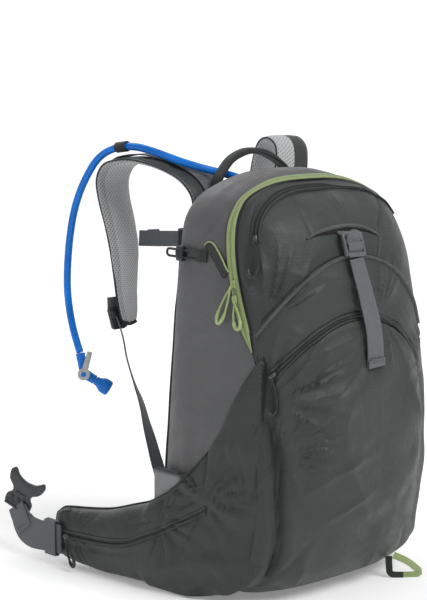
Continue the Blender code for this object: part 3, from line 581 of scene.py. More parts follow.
def webbing(name, c, pitch=0.0017, rough=0.62, rows=0.0042):
    """Woven band: ribs across it and lines of yarn along it."""
    k = Look(name, c, rough, sheen=0.10, specular=0.4)
    ribs = k.wave(pitch, "Y")
    yarn = k.wave(rows, "X")
    tone = k.mix(k.math("MULTIPLY", ribs, 0.6), shade(c, 0.72), shade(c, 1.22))
    tone = k.mix(k.math("MULTIPLY", k.noise(300, 2), 0.4), tone, shade(c, 1.35))
    k.colour(k.mix(k.math("MULTIPLY", yarn, 0.25), tone, shade(c, 0.65)))
    k.bump(ribs, 0.0004, 0.8)
    k.bump(yarn, 0.0003, 0.5)
    return k.m


def spacer(name, light, dark, pitch=0.0052, uv=True, angle=45, hole=0.42):
    """Knitted spacer mesh: a net of yarns round rows of small openings."""
    k = Look(name, light, 0.85, sheen=0.2, uv=uv, specular=0.25)
    place = k.turned(angle)
    holes = k.math("MULTIPLY", k.wave(pitch, "X", place), k.wave(pitch, "Y", place))
    opening = k.span(holes, hole, hole + 0.22)
    yarn = k.span(k.noise(700, 2), 0.3, 0.7)
    tone = k.mix(yarn, shade(light, 0.86), shade(light, 1.1))
    tone = k.mix(k.math("MULTIPLY", k.span(k.noise(14, 2), 0.35, 0.65), 0.25), tone, shade(light, 0.8))
    k.colour(k.mix(opening, tone, dark))
    k.bump(k.math("SUBTRACT", 1.0, opening), 0.0009, 0.9)
    k.bump(k.noise(60, 3), 0.002, 0.4)
    return k.m


def plastic(name, c, rough=0.36, grain=0.5, uv=False):
    """Moulded plastic: fine grain, slight sink and scuffs."""
    k = Look(name, c, rough, uv=uv)
    k.colour(k.mix(k.span(k.noise(90, 3), 0.35, 0.7), shade(c, 0.88), shade(c, 1.12)))
    k.rough(k.span(k.noise(220, 4), 0.3, 0.7, rough - 0.07, rough + 0.12))
    k.bump(k.noise(1500, 2), 0.00008, grain)
    k.bump(k.noise(60, 2), 0.0004, 0.3)
    return k.m


def coil(name, c, pitch=0.0014):
    """Zip teeth: bars across the strip."""
    k = Look(name, c, 0.38, specular=0.6)
    teeth = k.wave(pitch, "Y")
    k.colour(k.mix(teeth, shade(c, 0.45), shade(c, 1.5)))
    k.bump(teeth, 0.0006, 1.0)
    return k.m


DARK = (0.0330, 0.0395, 0.0372)
GREY = (0.098, 0.099, 0.103)
LIME = (0.330, 0.415, 0.180)
SLATE = (0.112, 0.124, 0.135)
M = {
    "dark": ripstop("ripstop_dark", DARK),
    "dark_o": ripstop("ripstop_dark_wing", DARK, uv=False, across="Y", up="Z"),
    "panel": ripstop("ripstop_panel", shade(DARK, 1.12)),
    "grey": ripstop("ripstop_grey", GREY, grid=0.05),
    "lining": ripstop("lining", (0.12, 0.125, 0.13), grid=0.1),
    "trim": webbing("binding", shade(DARK, 0.55), 0.0011, 0.7, 0.003),
    # piping: the fabric's colour made lighter, a painted highlight along the rolled edges that use it
    "piping": webbing("piping", shade(DARK, 2.1), 0.0012, 0.48, 0.003),
    "trim_grey": webbing("binding_grey", shade(SLATE, 1.1), 0.0012, 0.7, 0.003),
    "web": webbing("webbing", SLATE),
    "web_dark": webbing("webbing_dark", shade(DARK, 0.58)),
    "lime_web": webbing("webbing_lime", LIME, 0.0012),
    "lime_tape": webbing("tape_lime", LIME, 0.0011, 0.6, 0.0022),
    "lime_cord": webbing("cord_lime", shade(LIME, 1.08), 0.0016, 0.55, 0.002),
    "lime_plastic": plastic("plastic_lime", shade(LIME, 1.05), 0.42),
    "lime_coil": coil("coil_lime", shade(LIME, 0.75)),
    "mesh": spacer("spacer_light", (0.54, 0.545, 0.555), (0.27, 0.275, 0.28), 0.0036, hole=0.36),
    # a darker copy of the strap's spacer mesh: painted shade along one edge of the left strap
    "mesh_shaded": spacer("spacer_shade", (0.42, 0.425, 0.435), (0.15, 0.152, 0.155), 0.0036, hole=0.34),
    "mesh_back": spacer("spacer_back", (0.24, 0.245, 0.25), (0.05, 0.052, 0.054), 0.0056),
    "stretch": spacer("stretch_pocket", (0.27, 0.275, 0.28), (0.15, 0.152, 0.155), 0.0022, hole=0.5),
    "plastic": plastic("plastic_dark", (0.020, 0.022, 0.025)),
    "slate": plastic("plastic_slate", (0.034, 0.039, 0.044), 0.33),
    "buckle": plastic("plastic_buckle", (0.105, 0.115, 0.125), 0.32),
    "metal": plastic("slider_metal", (0.10, 0.10, 0.105), 0.28),
    "zip_tape": webbing("zip_tape", shade(DARK, 0.55), 0.0010, 0.7, 0.003),
    "coil": coil("coil_dark", (0.030, 0.032, 0.033)),
    "cord": webbing("cord_dark", (0.016, 0.017, 0.018), 0.0018, 0.6, 0.002),
    "lever": plastic("plastic_lever", (0.42, 0.43, 0.43), 0.34),
    "bladder": plastic("film_clear_blue", (0.45, 0.60, 0.75), 0.16, 0.2),
    "frame": plastic("sheet_white", (0.55, 0.55, 0.53), 0.42),
    "shadow": plastic("shadow_gap", (0.006, 0.006, 0.006), 0.9),
}
M["metal"].node_tree.nodes["Principled BSDF"].inputs["Metallic"].default_value = 0.85


def water_blue(name, c, rough):
    """Soft blue plastic that lets a little light in."""
    k = Look(name, c, rough, coat=0.1, specular=0.3, uv=False)
    k.colour(k.mix(k.span(k.noise(25, 2), 0.35, 0.65), shade(c, 0.85), shade(c, 1.15)))
    k.rough(k.span(k.noise(300, 3), 0.3, 0.7, rough, rough + 0.10))
    k.bump(k.noise(120, 2), 0.0003, 0.3)
    k.shader.inputs["Subsurface Weight"].default_value = 0.15
    k.shader.inputs["Subsurface Radius"].default_value = (0.001, 0.003, 0.006)
    return k.m


M["blue"] = water_blue("tube_blue", (0.001, 0.165, 0.640), 0.22)
M["valve"] = water_blue("valve_blue", (0.004, 0.175, 0.640), 0.34)

# ---------------------------------------------------------------- the body's fabric

# the deep seam between the front and the wings: x at a height
SEAM_UP = (0.030, 0.045, 0.074, 0.1005, 0.1335, 0.165, 0.199, 0.229, 0.269, 0.295)
SEAM_OUT = (0.1210, 0.1205, 0.1195, 0.1215, 0.1235, 0.1240, 0.1260, 0.1305, 0.1315, 0.1325)
# creases that fan out from the pocket's corner and from the strap: x, z, arms, depth, reach and seed
FRONT_FANS = (
    (-0.128, 0.245, 5.0, 0.0052, 0.115, 3), (-0.124, 0.190, 4.5, 0.0042, 0.085, 5),
    (0.122, 0.262, 4.5, 0.0020, 0.085, 7), (0.020, 0.330, 6.0, 0.0030, 0.085, 11),
    (-0.125, 0.335, 5.0, 0.0052, 0.095, 15), (0.0, 0.42, 5.0, 0.0008, 0.07, 13),
)
DART_UP, DART_OUT = (0.395, 0.428, 0.456), (0.034, 0.053, 0.085)  # the sewn line right of the strap


def front_relief(x, z):
    """How far the front's fabric stands off its plain surface: fullness, creases and seams."""
    r_pocket = np.hypot(x - POCKET_ARC[0], z - POCKET_ARC[1]) - POCKET_ARC[2]
    r_stash = np.hypot(x - STASH_ARC[0], z - STASH_ARC[1]) - STASH_ARC[2]
    inside = smooth(0.004, -0.03, r_pocket) * smooth(0.03, 0.07, z)
    h = 0.0030 * inside * smooth(0.15, 0.10, np.abs(x))
    h += 0.0016 * smooth(0.0, 0.02, r_stash) * smooth(0.47, 0.42, z)
    for cx, cz, arms, amount, reach, seed in FRONT_FANS:
        r, a = np.hypot(x - cx, z - cz), np.arctan2(z - cz, x - cx)
        h += amount * folds(a * arms, r * 5, seed, 1.4) * smooth(reach, reach * 0.35, r) * smooth(0.006, 0.034, r)
    h += 0.0040 * folds(x * 8 + z * 3, z * 20 - x * 7, 21, 2.0) * inside * smooth(0.02, -0.05, x)
    h += 0.0026 * folds(x * 13 + z * 7, z * 6 - x * 3, 61, 1.6) * inside
    h += 0.0026 * folds(x * 34, z * 7, 25, 2.0) * inside * smooth(-0.032, -0.010, r_pocket)
    level = smooth(0.30, 0.33, z) * smooth(0.40, 0.37, z) * smooth(-0.01, -0.05, x)
    h += 0.0040 * folds(x * 4 - z * 4, z * 26 + x * 5, 27, 2.0) * level
    h += 0.0014 * folds(x * 9 - z * 14, x * 7, 29, 1.4) * smooth(0.36, 0.42, z) * smooth(0.48, 0.44, z)
    h += 0.0026 * folds(x * 20, z * 9, 33, 1.3) * smooth(0.09, 0.045, z)
    h += 0.0014 * noise(np.stack([x * 28, z * 28], -1), 41)
    # the fabric lies flat under the strap
    h *= 1 - 0.85 * groove(x + 0.004, 0.018) * smooth(0.250, 0.272, z) * smooth(0.41, 0.39, z)
    # it is pulled in at the seam before each wing, and stands up again beside it
    off_seam = np.abs(x) - interp(SEAM_UP, SEAM_OUT, np.clip(z, 0.030, 0.295))
    upto = smooth(0.315, 0.270, z) * smooth(0.015, 0.045, z)
    h = h * (1 - 0.6 * groove(off_seam, 0.006) * upto)
    h -= 0.0065 * groove(off_seam, 0.0042) * upto
    h += 0.0034 * smooth(0.002, 0.009, off_seam) * upto
    h += 0.0022 * groove(off_seam + 0.011, 0.007) * upto
    # seams pull the fabric in
    h -= 0.0020 * groove(r_pocket, 0.006) * smooth(0.20, 0.24, z)
    dart = np.abs(x - np.interp(z, DART_UP, DART_OUT))
    h -= 0.0019 * groove(dart, 0.0025) * smooth(0.388, 0.398, z)
    h -= 0.0012 * groove(x + 0.0611, 0.0025) * smooth(0.418, 0.426, z) * smooth(0.468, 0.456, z)
    for x0, z0, x1, z1 in ((-0.110, 0.040, -0.088, 0.075), (0.095, 0.030, 0.078, 0.060)):
        t, d = to_segment(x, z, x0, z0, x1, z1)
        h -= 0.0030 * groove(d, 0.005) * (1 - t * 0.6)
    return h


def front_points(x, z, lift=0.0):
    """Points on the front's fabric at x and z, lifted off it along its normal."""
    x, z = np.asarray(x, float), np.asarray(z, float)
    d = 0.002
    w = section(z)[0]
    limit = w - 0.0015
    at = lambda a, b: front_y(np.clip(a, -limit, limit), b)
    y = at(x, z)
    gx = (at(x + d, z) - at(x - d, z)) / (2 * d)
    gz = (at(x, z + d) - at(x, z - d)) / (2 * d)
    n = unit(np.stack([gx.clip(-4, 4), -np.ones_like(y), gz.clip(-4, 4)], -1))
    h = front_relief(x, z) * smooth(0, 0.02, limit - np.abs(x)) + lift
    return np.stack([x, y, z], -1) + n * h[..., None], n


def half_outline(z, end, power):
    """The body's front or back outline at a height, from its left side to its right; end is its farthest y."""
    t = np.linspace(0, math.pi, 801)
    c, s = np.cos(t), np.sin(t)
    x = -section(z)[0] * np.sign(c) * np.abs(c) ** (2 / power)
    return x, MIDDLE_Y + (end - MIDDLE_Y) * np.abs(s) ** (2 / power)


def front_fabric():
    """From the base to the top, between the two seams, as one sheet."""
    z_top = 0.4795  # just below the top of the main zip
    zs = np.concatenate([np.arange(BASE_TOP + 0.0005, z_top - 0.006, FINE), np.linspace(z_top - 0.006, z_top, 5)])
    cols = int(0.36 / FINE)
    grid = []
    for z in zs:
        edge = float(seam(z) - tape_half(z) + lower_edge(z)) - 0.0003
        x, y = half_outline(z, section(z)[1], FRONT_POWER)
        keep = y <= edge
        if keep.sum() < 3:
            x0 = float(side_x(np.array(edge), np.array(z)))
            line = np.stack([np.linspace(-max(x0, 0.01), max(x0, 0.01), 5), np.full(5, edge), np.full(5, z)], 1)
        else:
            line = np.stack([x[keep], y[keep], np.full(keep.sum(), z)], 1)
        grid.append(even(line, cols))
    grid = np.array(grid)
    n = normals(grid)
    near = np.minimum(np.arange(cols + 1), np.arange(cols + 1)[::-1]) * FINE
    x, z = grid[..., 0], grid[..., 2]
    h = front_relief(x, z) * smooth(0, 0.018, near)[None] * smooth(z_top, z_top - 0.02, z)
    h += 0.0016 * np.sin(np.clip(near / 0.02, 0, 1) * math.pi)[None]
    p = Piece("front_fabric")
    p.sheet(grid + n * h[..., None], FABRIC, M["dark"], inner=M["lining"])
    attach_flap(p.done(), "front_shell_lower", "front_shell_upper")


def on_slice(y_of):
    """The body's outline in the sheet y = y_of(z): up the left side, over the top and down the right."""
    z0 = 0.36
    low = np.arange(BASE_TOP + 0.0005, z0, FINE)
    ang = np.linspace(math.pi, 0, ARCH_POINTS)
    lo, hi = np.zeros(ARCH_POINTS), np.full(ARCH_POINTS, 0.2)
    for _ in range(36):
        r = (lo + hi) / 2
        z = z0 + r * np.sin(ang)
        inside = (z < HEIGHT) & (r * np.abs(np.cos(ang)) < side_x(y_of(z), z))
        lo, hi = np.where(inside, r, lo), np.where(inside, hi, r)
    z = z0 + lo * np.sin(ang)
    arch = np.stack([lo * np.cos(ang), y_of(z), z], 1)
    y = y_of(low)
    x = side_x(y, low)
    return np.concatenate([np.stack([-x, y, low], 1), arch, np.stack([x, y, low], 1)[::-1]])


def band(rows, low, high):
    """A grid across the body between two seams: low and high are y at a height."""
    return np.array([on_slice(lambda z: low(z) + (high(z) - low(z)) * i / rows) for i in range(rows + 1)])


def gusset():
    """The grey sides and top between the zip and the back panel."""
    rows = int(0.11 / FINE)
    beside_zip = lambda z: seam(z) + tape_half(z) + lower_edge(z) + 0.0004
    grid = band(rows, beside_zip, lambda z: z * 0 + BACK_Y - 0.0003)
    n = outer_normals(grid)
    x, y, z = grid[..., 0], grid[..., 1], grid[..., 2]
    edge = np.minimum(np.arange(rows + 1), np.arange(rows + 1)[::-1])[:, None] * FINE
    fade = smooth(0, 0.02, edge)
    ripple = noise(np.stack([y * 22, z * 22, x * 9], -1), 57)
    h = fade * (0.0018 * folds(y * 13 + z * 4, z * 8, 51, 1.5) + 0.0012 * ripple)
    h += 0.0030 * np.sin(np.clip(edge / 0.05, 0, 1) * math.pi / 2) * smooth(0.05, 0.15, z)
    h *= 1 - 0.85 * groove(y - 0.05, 0.035) * groove(z - BUNGEE_Z, 0.022) * (x < 0)  # room for the cord lock
    # the sewn line that curves over the shoulder of the side
    line = np.abs(y - np.interp(z, (0.36, 0.40, 0.43, 0.455), (0.070, 0.045, 0.015, -0.002)))
    h -= 0.0014 * groove(line, 0.0022) * smooth(0.37, 0.39, z) * smooth(0.462, 0.452, z)
    p = Piece("side_and_top_fabric")
    p.sheet(grid + n * h[..., None], FABRIC, M["grey"], inner=M["lining"])
    attach(p.done(), "pack", "main_gusset", slot="ripstop_grey")


def main_zip():
    """The lime tape round the opening with its coil, and the dark piping beside it."""
    grid = np.array([on_slice(lambda z: seam(z) + t * tape_half(z)) for t in np.linspace(-1, 1, 9)])
    keep = grid[4][:, 2] > ZIP_END + 0.002
    grid = grid[:, keep]
    n = outer_normals(grid)
    half = (0.0002, 0.0016, 0.0019, 0.0016)  # the tape's lift from its edge to beside the coil
    crown = np.array([*half, 0.0010, *half[::-1]])[:, None, None]
    p = Piece("main_zip")
    p.sheet(np.swapaxes(grid + n * crown, 0, 1), 0.0010, M["lime_tape"])
    middle, out = grid[4], n[4]
    flat = strip_profile(0.0030, 0.0016, 0.0004)
    p.sweep(middle + out * 0.0014, flat, out, M["lime_coil"])
    attach(p.done(), "pack", "main_zip_tape", slot="lime")
    p = Piece("main_zip_piping_rear")
    p.tube(grid[-1] + n[-1] * 0.0009, 0.00115, M["trim"], sides=8)
    attach(p.done(), "pack", slot="ripstop_grey")
    p = Piece("main_zip_piping_front")
    p.tube(grid[0] + n[0] * 0.0008, 0.00125, M["trim"], sides=8)
    attach_flap(p.done())


CHANNELS = (-0.34, 0.34)  # the sewn channels of the back pads, as a share of their half width


def base_panel():
    """The dark base that the pack stands on."""
    rings = []
    sides = 180
    t = circle(sides)
    levels = ((0.0, 0.012), (0.0, 0.004), *((z, 0) for z in (0.0006, 0.004, 0.008, 0.012, 0.017, 0.0215)))
    for z, inset in levels:
        w, front, back = (float(v) for v in section(z))
        w, front, back = w - inset, front + inset, back - inset
        s, c = np.sin(t), np.cos(t)
        power = np.where(s > 0, 2 / BACK_POWER, 2 / FRONT_POWER)
        reach = np.where(s > 0, back - MIDDLE_Y, MIDDLE_Y - front)
        ring = np.stack([w * np.sign(c) * np.abs(c) ** power, MIDDLE_Y + np.sign(s) * reach * np.abs(s) ** power,
                         np.full(sides, z)], 1)
        if 0.003 < z < 0.02:
            ring[:, :2] *= (1 + 0.006 * noise(np.stack([t * 5, t * 0 + z * 60], 1), 61))[:, None]
        rings.append(ring)
    p = Piece("base_fabric")
    p.rings(rings, M["dark"])
    attach(p.done(60), "pack", "base_panel", slot="ripstop_dark")


def back_panel():
    """The mesh back with its hollow down the middle, and the binding round it."""
    grid = []
    cols = 90
    for z in np.arange(BASE_TOP + 0.0005, 0.4635, FINE * 1.3):
        x, y = half_outline(z, section(z)[2], BACK_POWER)
        keep = y >= BACK_Y + 0.0003
        if keep.sum() > 8:
            grid.append(even(np.stack([x[keep], y[keep], np.full(keep.sum(), z)], 1), cols))
    grid = np.array(grid)
    p = Piece("back_mesh")
    x, z = grid[..., 0], grid[..., 2]
    grid[..., 1] -= 0.004 * groove(x, 0.016) * smooth(0.05, 0.09, z) * smooth(0.46, 0.42, z)
    grid[..., 1] += 0.0010 * noise(np.stack([x * 25, z * 25], -1), 71)
    p.sheet(grid, 0.0060, M["mesh_back"], flip=True, inner=M["lining"])
    attach(p.done(), "pack", "back_panel", slot="mesh_grey")
    p = Piece("back_binding")
    for end in (0, -1):
        p.tube(grid[:, end] + np.array((0, 0.0006, 0)), 0.0019, M["trim"], sides=8)
    p.tube(grid[-1] + np.array((0, -0.001, 0.0008)), 0.0019, M["trim"], sides=8)
    attach(p.done(), "pack", slot="ripstop_dark")


def back_pads():
    """Two mesh pads, filled between their sewn channels."""
    for name in ("back_pad_upper", "back_pad_lower"):
        lo, hi = (np.array(v, float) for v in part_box(name))
        middle, ext = (lo + hi) / 2, (hi - lo) / 2 - np.array((0.002, 0.0015, 0.002))
        nx, nz = ((44, 36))
        u, v = np.meshgrid(np.linspace(-1, 1, nx + 1), np.linspace(-1, 1, nz + 1))
        k = 1 - 0.10 * np.abs(v) ** 4
        gx = middle[0] + ext[0] * u * k * (1 - 0.04 * (1 - u * u))
        gz = middle[2] + ext[2] * v * (1 - 0.10 * np.abs(u) ** 4)
        dome = ((1 - np.abs(u) ** 6) * (1 - np.abs(v) ** 6)).clip(0, 1) ** 0.5
        outer = np.stack([gx, lo[1] + 0.003 + (hi[1] - lo[1] - 0.0035) * dome, gz], -1)
        p = Piece(name + "_cushion")
        rows, cols = outer.shape[:2]
        inner = outer.copy()
        inner[..., 1] = lo[1] + 0.0004
        side = rows * cols
        faces = [f for quad in quads_of(rows, cols) for f in (quad, tuple(side + q for q in quad))]
        faces += edge_quads(rows, cols)
        uvs = [[(float(gx.flat[q % side]), float(gz.flat[q % side])) for q in quad] for quad in faces]
        p.add(np.concatenate([outer.reshape(-1, 3), inner.reshape(-1, 3)]), faces, M["mesh"], uvs)
        obj = p.done(70)
        edge = (1 - np.maximum(np.abs(u), np.abs(v))).ravel()
        channels = np.minimum.reduce([np.abs(u - c).ravel() for c in CHANNELS])
        held = np.where((edge < 0.03) | (channels < 0.02), 1.0, 0.0)
        held = np.concatenate([held, np.ones(side)])
        pad_out(obj, held, 0.0028, 4.0, 10)
        finer(obj)

        def channel(co, no):
            across = (co[:, 0] - middle[0]) / ext[0]
            depth = -0.0032 * sum(groove(across - c, 0.035) for c in CHANNELS) * (co[:, 1] > lo[1] + 0.004)
            return np.stack([depth * 0, depth, depth * 0], 1)

        move_points(obj, channel)
        attach(obj, "pack", name, slot="mesh_grey")
        p = Piece(name + "_piping")
        ring = np.array([outer[a, b] for a, b in rim_of(rows, cols)])
        p.tube(ring + np.array((0, -0.0002, 0)), 0.0017, M["trim"], closed=True, sides=8)
        attach(p.done(), "pack", slot="ripstop_dark")


# ---------------------------------------------------------------- pockets and their zips


def arc_z(arc, x, shrink=0.0):
    """The height of a pocket's arc; an arc is its centre's x and z, and its radius."""
    return arc[1] + np.sqrt(np.maximum(0.0, (arc[2] - shrink) ** 2 - (x - arc[0]) ** 2))


def arc_line(arc, start, end, grow=0.0, count=90):
    """Points along an arc, between two angles in degrees."""
    a = np.radians(np.linspace(start, end, count))
    return arc[0] + (arc[2] + grow) * np.cos(a), arc[1] + (arc[2] + grow) * np.sin(a)


def arch_line(start, end, grow=0.0, count=90):
    """The same along the top pocket's arch."""
    cx, cz, ra, rb, power = TOP_ARCH
    a = np.radians(np.linspace(start, end, count))
    return (cx + (ra + grow) * np.sign(np.cos(a)) * np.abs(np.cos(a)) ** (2 / power),
            cz + (rb + grow) * np.abs(np.sin(a)) ** (2 / power))


def zip_line(name, line, body, node, narrow=1.0):
    """A closed zip: two folds of fabric that meet over a dark coil; its far end narrows to a seam."""
    p = Piece(name)
    grid = []
    full = line(0.0)
    fade = 1 - 0.72 * smooth(-0.01, 0.05, full[0])
    scale = np.stack([fade, 0.4 + 0.6 * fade], 1)
    plain = line
    line = lambda g: tuple(c + (d - c) * fade for c, d in zip(full, plain(g)))
    half = ((0.0052, 0.0004), (0.0042, 0.0013), (0.0020, 0.0012))  # distance from the middle, and lift
    for g, lift in [(-g, lift) for g, lift in half] + list(half[::-1]):
        grid.append(front_points(*line(g * narrow), lift)[0])
    p.sheet(np.array(grid), 0.0008, M["zip_tape"])
    middle, n = front_points(*line(0.0), 0.0016)
    p.sweep(middle, strip_profile(0.0030 * narrow, 0.0014, 0.0003), n, M["coil"], scale)
    for g in (-0.0034, 0.0034):
        edge, n = front_points(*line(g * narrow), 0.0017)
        p.sweep(edge, strip_profile(0.0032 * narrow, 0.0013, 0.0006), n, M["dark"], scale)
    attach(p.done(), body, node, slot="zip")


def pockets():
    """The front pocket, and the stretch panel above it with its rolled edge."""
    cols = int(0.25 / FINE)
    reach = 0.1195
    x0, x1 = POCKET_ARC[0] - reach, POCKET_ARC[0] + reach
    top = lambda x: arc_z(POCKET_ARC, x, 0.0046)
    low = 0.046
    xs = np.linspace(x0, x1, cols)
    rows = np.linspace(0, 1, int(0.28 / FINE))
    X, T = np.meshgrid(xs, rows)
    Z = low + (top(X) - low) * T
    side = smooth(0, 0.030, np.minimum(X - x0, x1 - X))
    lift = 0.0004 + 0.0030 * side * smooth(0.0, 0.22, T)
    lift += 0.0008 * groove((1 - T) * (top(X) - low) - 0.003, 0.002)
    p = Piece("front_pocket_fabric")
    p.sheet(front_points(X, Z, lift)[0], 0.0011, M["dark"], inner=M["lining"])
    attach(p.done(), "pack", "front_pocket", slot="ripstop_dark")
    zip_line("front_pocket_zip_line", lambda g: arc_line(POCKET_ARC, *POCKET_SPAN, g), "pack", "front_pocket_zip")
    line = lambda x: arc_z(STASH_ARC, x)
    x0, x1 = STASH_ARC[0] - 0.1205, STASH_ARC[0] + 0.1205
    xs = np.linspace(x0, x1, cols)
    X, T = np.meshgrid(xs, np.linspace(0, 1, int(0.09 / FINE)))
    low = np.maximum(arc_z(POCKET_ARC, X, -0.0062), 0.262)
    low = np.minimum(low, line(X) - 0.004)
    Z = low + (line(X) - low) * T
    lift = 0.0005 + 0.0014 * T
    p = Piece("stash_fabric")
    p.sheet(front_points(X, Z, lift)[0], 0.0010, M["panel"], inner=M["lining"])
    attach_flap(p.done(), "stash_panel")
    rim, n = front_points(*arc_line(STASH_ARC, 160, 17, 0.0, 120), 0.0019)
    p = Piece("stash_edge")
    # the rolled edge in the lighter piping: a painted highlight
    p.sweep(rim + n * 0.0006, strip_profile(0.0046, 0.0028, 0.0010), n, M["piping"])
    # a dark cord just above the edge: its painted shadow
    shade_line, _ = front_points(*arc_line(STASH_ARC, 160, 17, 0.0036, 120), 0.0002)
    p.tube(shade_line, 0.0011, M["cord"], sides=8)
    attach_flap(p.done())
    zip_line("top_pocket_zip_line", lambda g: arch_line(*TOP_SPAN, g), "flap", "top_pocket_zip", 0.66)


def strap_slit():
    """The curved slit that the front strap comes out of, and the sewn line beside it."""
    lip = through([(-0.070, 0, 0.4185), (-0.052, 0, 0.4245), (-0.020, 0, 0.4285), (0.004, 0, 0.4290),
                   (0.024, 0, 0.4250), (0.044, 0, 0.4150)], 0.003)
    p = Piece("slit_shadow")
    grid = np.array([front_points(lip[:, 0], lip[:, 2] - d * np.sin(np.linspace(0, math.pi, len(lip))), 0.0007)[0]
                     for d in (0.0, 0.0028, 0.0060)])
    p.sheet(grid, 0.0006, M["shadow"])
    attach(p.done(), "flap", slot="ripstop_dark")
    p = Piece("slit_lip")
    rim, n = front_points(lip[:, 0], lip[:, 2] + 0.0008, 0.0014)
    taper = np.sin(np.linspace(0.12, math.pi - 0.12, len(lip))) ** 0.4
    # the lip in the lighter piping: a painted highlight on the flap's edge
    p.sweep(rim, strip_profile(0.0052, 0.0022, 0.0008), n, M["piping"], np.stack([taper, taper], 1))
    attach(p.done(), "flap", slot="ripstop_dark")
    x = np.linspace(0.034, 0.085, 40)
    z = interp(DART_OUT, DART_UP, x)
    stitch, n = front_points(x, z, 0.0004)
    p = Piece("front_seam_stitch")
    p.tube(stitch - n * 0.0004, 0.0008, M["cord"], sides=8)
    attach(p.done(), "flap", slot="ripstop_dark")


def slider_body(p, place, along, off, material, lift=0.0018, size=(0.0095, 0.0065, 0.0032)):
    """A slider: a shield-shaped body with side flanges and a bridge that the pull hangs on."""
    along = unit(along)
    across = unit(np.cross(along, off))
    off = np.cross(across, along)
    c, size = np.array(place, float) + off * lift, np.array(size)
    p.block(c - off * 0.0007, (along, across, off), size * (1, 1, 0.55), material, 0.0007, 0.72)
    p.block(c + off * 0.0002, (along, across, off), size * (0.82, 0.62, 0.62), material, 0.0007, 0.8)
    arch = [c + along * x + off * (0.0010 + z) for x, z in
            ((-0.0034, 0.0), (-0.0030, 0.0012), (-0.0012, 0.0020), (0.0012, 0.0020), (0.0030, 0.0012), (0.0034, 0.0))]
    p.sweep(through(arch, 0.0008), strip_profile(0.0022, 0.0008), off, material)


def cord_pull(p, place, down, off, length, width, cord, end, thick=0.0021, share=0.62):
    """A cord loop with a moulded bow at its end, and the short link to its slider."""
    down = unit(down)
    across = unit(np.cross(down, off))
    off = np.cross(across, down)
    t = circle(48)
    reach = (1 - np.cos(t)) / 2
    base = np.array(place, float) + down * 0.0075 + off * 0.0034
    wide = width / 2 * np.sin(t) * (0.45 + 0.75 * reach)  # a drop: wider at its far end
    line = base + down * (length * reach)[:, None] + across * wide[:, None]
    p.tube(line, 0.00125, cord, closed=True, sides=10)
    far = [i for i in range(len(line)) if reach[i] > share]
    r = np.array([0.0013 + (thick - 0.0013) * smooth(share, share + 0.12, reach[i]) for i in far])
    p.tube(line[far], r, end, sides=14)
    p.tube([line[0] + down * d for d in (-0.0055, -0.0022, 0.0004)], 0.0013, end, sides=8)


def slice_normal(y, z):
    """The direction out of the body's left side."""
    d = 0.002
    u = np.array((float(-side_x(y + d, z) + side_x(y - d, z)), 2 * d, 0))
    v = np.array((float(-side_x(y, z + d) + side_x(y, z - d)), 0, 2 * d))
    n = unit(np.cross(u, v))
    return n if n[0] < 0 else -n


def across_of(down, off):
    """The direction across a hanging thing."""
    return unit(np.cross(unit(down), unit(off)))


def zippers():
    """The sliders of the main opening and the two front pockets, with their pulls."""
    on_zip = lambda z: np.array((-float(side_x(seam(z), np.array(z))), float(seam(z)), z))
    low, high = on_zip(0.370), on_zip(0.428)
    off = slice_normal(float(seam(0.375)), 0.375)
    track = unit(high - low)
    rest, down = low + off * 0.0016, -track
    below = rest - track * 0.017
    across = across_of(down, off)
    ahead = -across if across[1] > 0 else across
    for name, place, lean, length in (("upper", rest, -29, 0.040), ("lower", below, 5, 0.027)):
        a = math.radians(lean)
        way = down * math.cos(a) + ahead * math.sin(a)
        p = Piece(f"main_slider_{name}")
        slider_body(p, place, track, off, M["lime_plastic"], 0.0026)
        body = "main_zip_slider_upper" if name == "upper" else "pack"
        attach(p.done(), body, f"main_zip_slider_{name}", slot="lime")
        p = Piece(f"main_pull_{name}")
        hang = place + off * (0.0026 if name == "upper" else 0.0)
        cord_pull(p, hang, way, off, length, 0.010, M["lime_cord"], M["lime_plastic"])
        attach(p.done(), f"main_zip_pull_{name}", f"main_zip_pull_{name}", slot="lime")
    for part, line, span in (("front_pocket", lambda a: arc_line(POCKET_ARC, a, a, 0, 1), POCKET_SPAN),
                             ("top_pocket", lambda a: arch_line(a, a, 0, 1), TOP_SPAN)):
        place, n = front_points(*line(span[0] - 1.5), 0.0026)
        ahead = front_points(*line(span[0] - 6), 0.0026)[0][0] - place[0]
        x, z = (float(v[0]) for v in line(span[0] - 1.5))
        plain = np.array((x, float(front_y(x, z)), z))  # where the slider would be on smooth fabric
        n = n[0]
        p = Piece(part + "_slider_body")
        slider_body(p, plain + n * 0.0026, ahead, n, M["metal"], 0.0032)
        attach(p.done(), part + "_slider", part + "_slider", slot="zip")
        hang = np.array((0.0, 0.0, -1.0))
        hang = unit(hang - n * (hang @ n))
        p = Piece(part + "_pull_cord")
        cord_pull(p, plain + n * 0.0044, hang, n, 0.036, 0.012, M["cord"], M["plastic"], 0.0022, 0.70)
        attach(p.done(), part + "_pull", part + "_pull", slot="plastic")


# ---------------------------------------------------------------- hip wings

WING_Y = (-0.073, -0.05, -0.02, 0.01, 0.045, 0.084, 0.12, 0.16, 0.20, 0.23, 0.246)
WING_OUT = (0.138, 0.149, 0.162, 0.171, 0.180, 0.186, 0.191, 0.195, 0.196, 0.194, 0.188)
WING_TOP = (0.296, 0.260, 0.200, 0.158, 0.126, 0.104, 0.092, 0.080, 0.074, 0.071, 0.060)
WING_BOTTOM = (0.046, 0.022, 0.008, 0.002, 0.000, 0.000, 0.000, 0.000, 0.002, 0.007, 0.015)
WING_ZIP = ((0.205, 0.041), (0.100, 0.050))
WING_LINE_Y = (-0.012, 0.033, 0.078, 0.110, 0.140, 0.172, 0.226)
WING_LINE_Z = (0.1125, 0.0865, 0.0645, 0.0515, 0.0465, 0.0440, 0.0415)
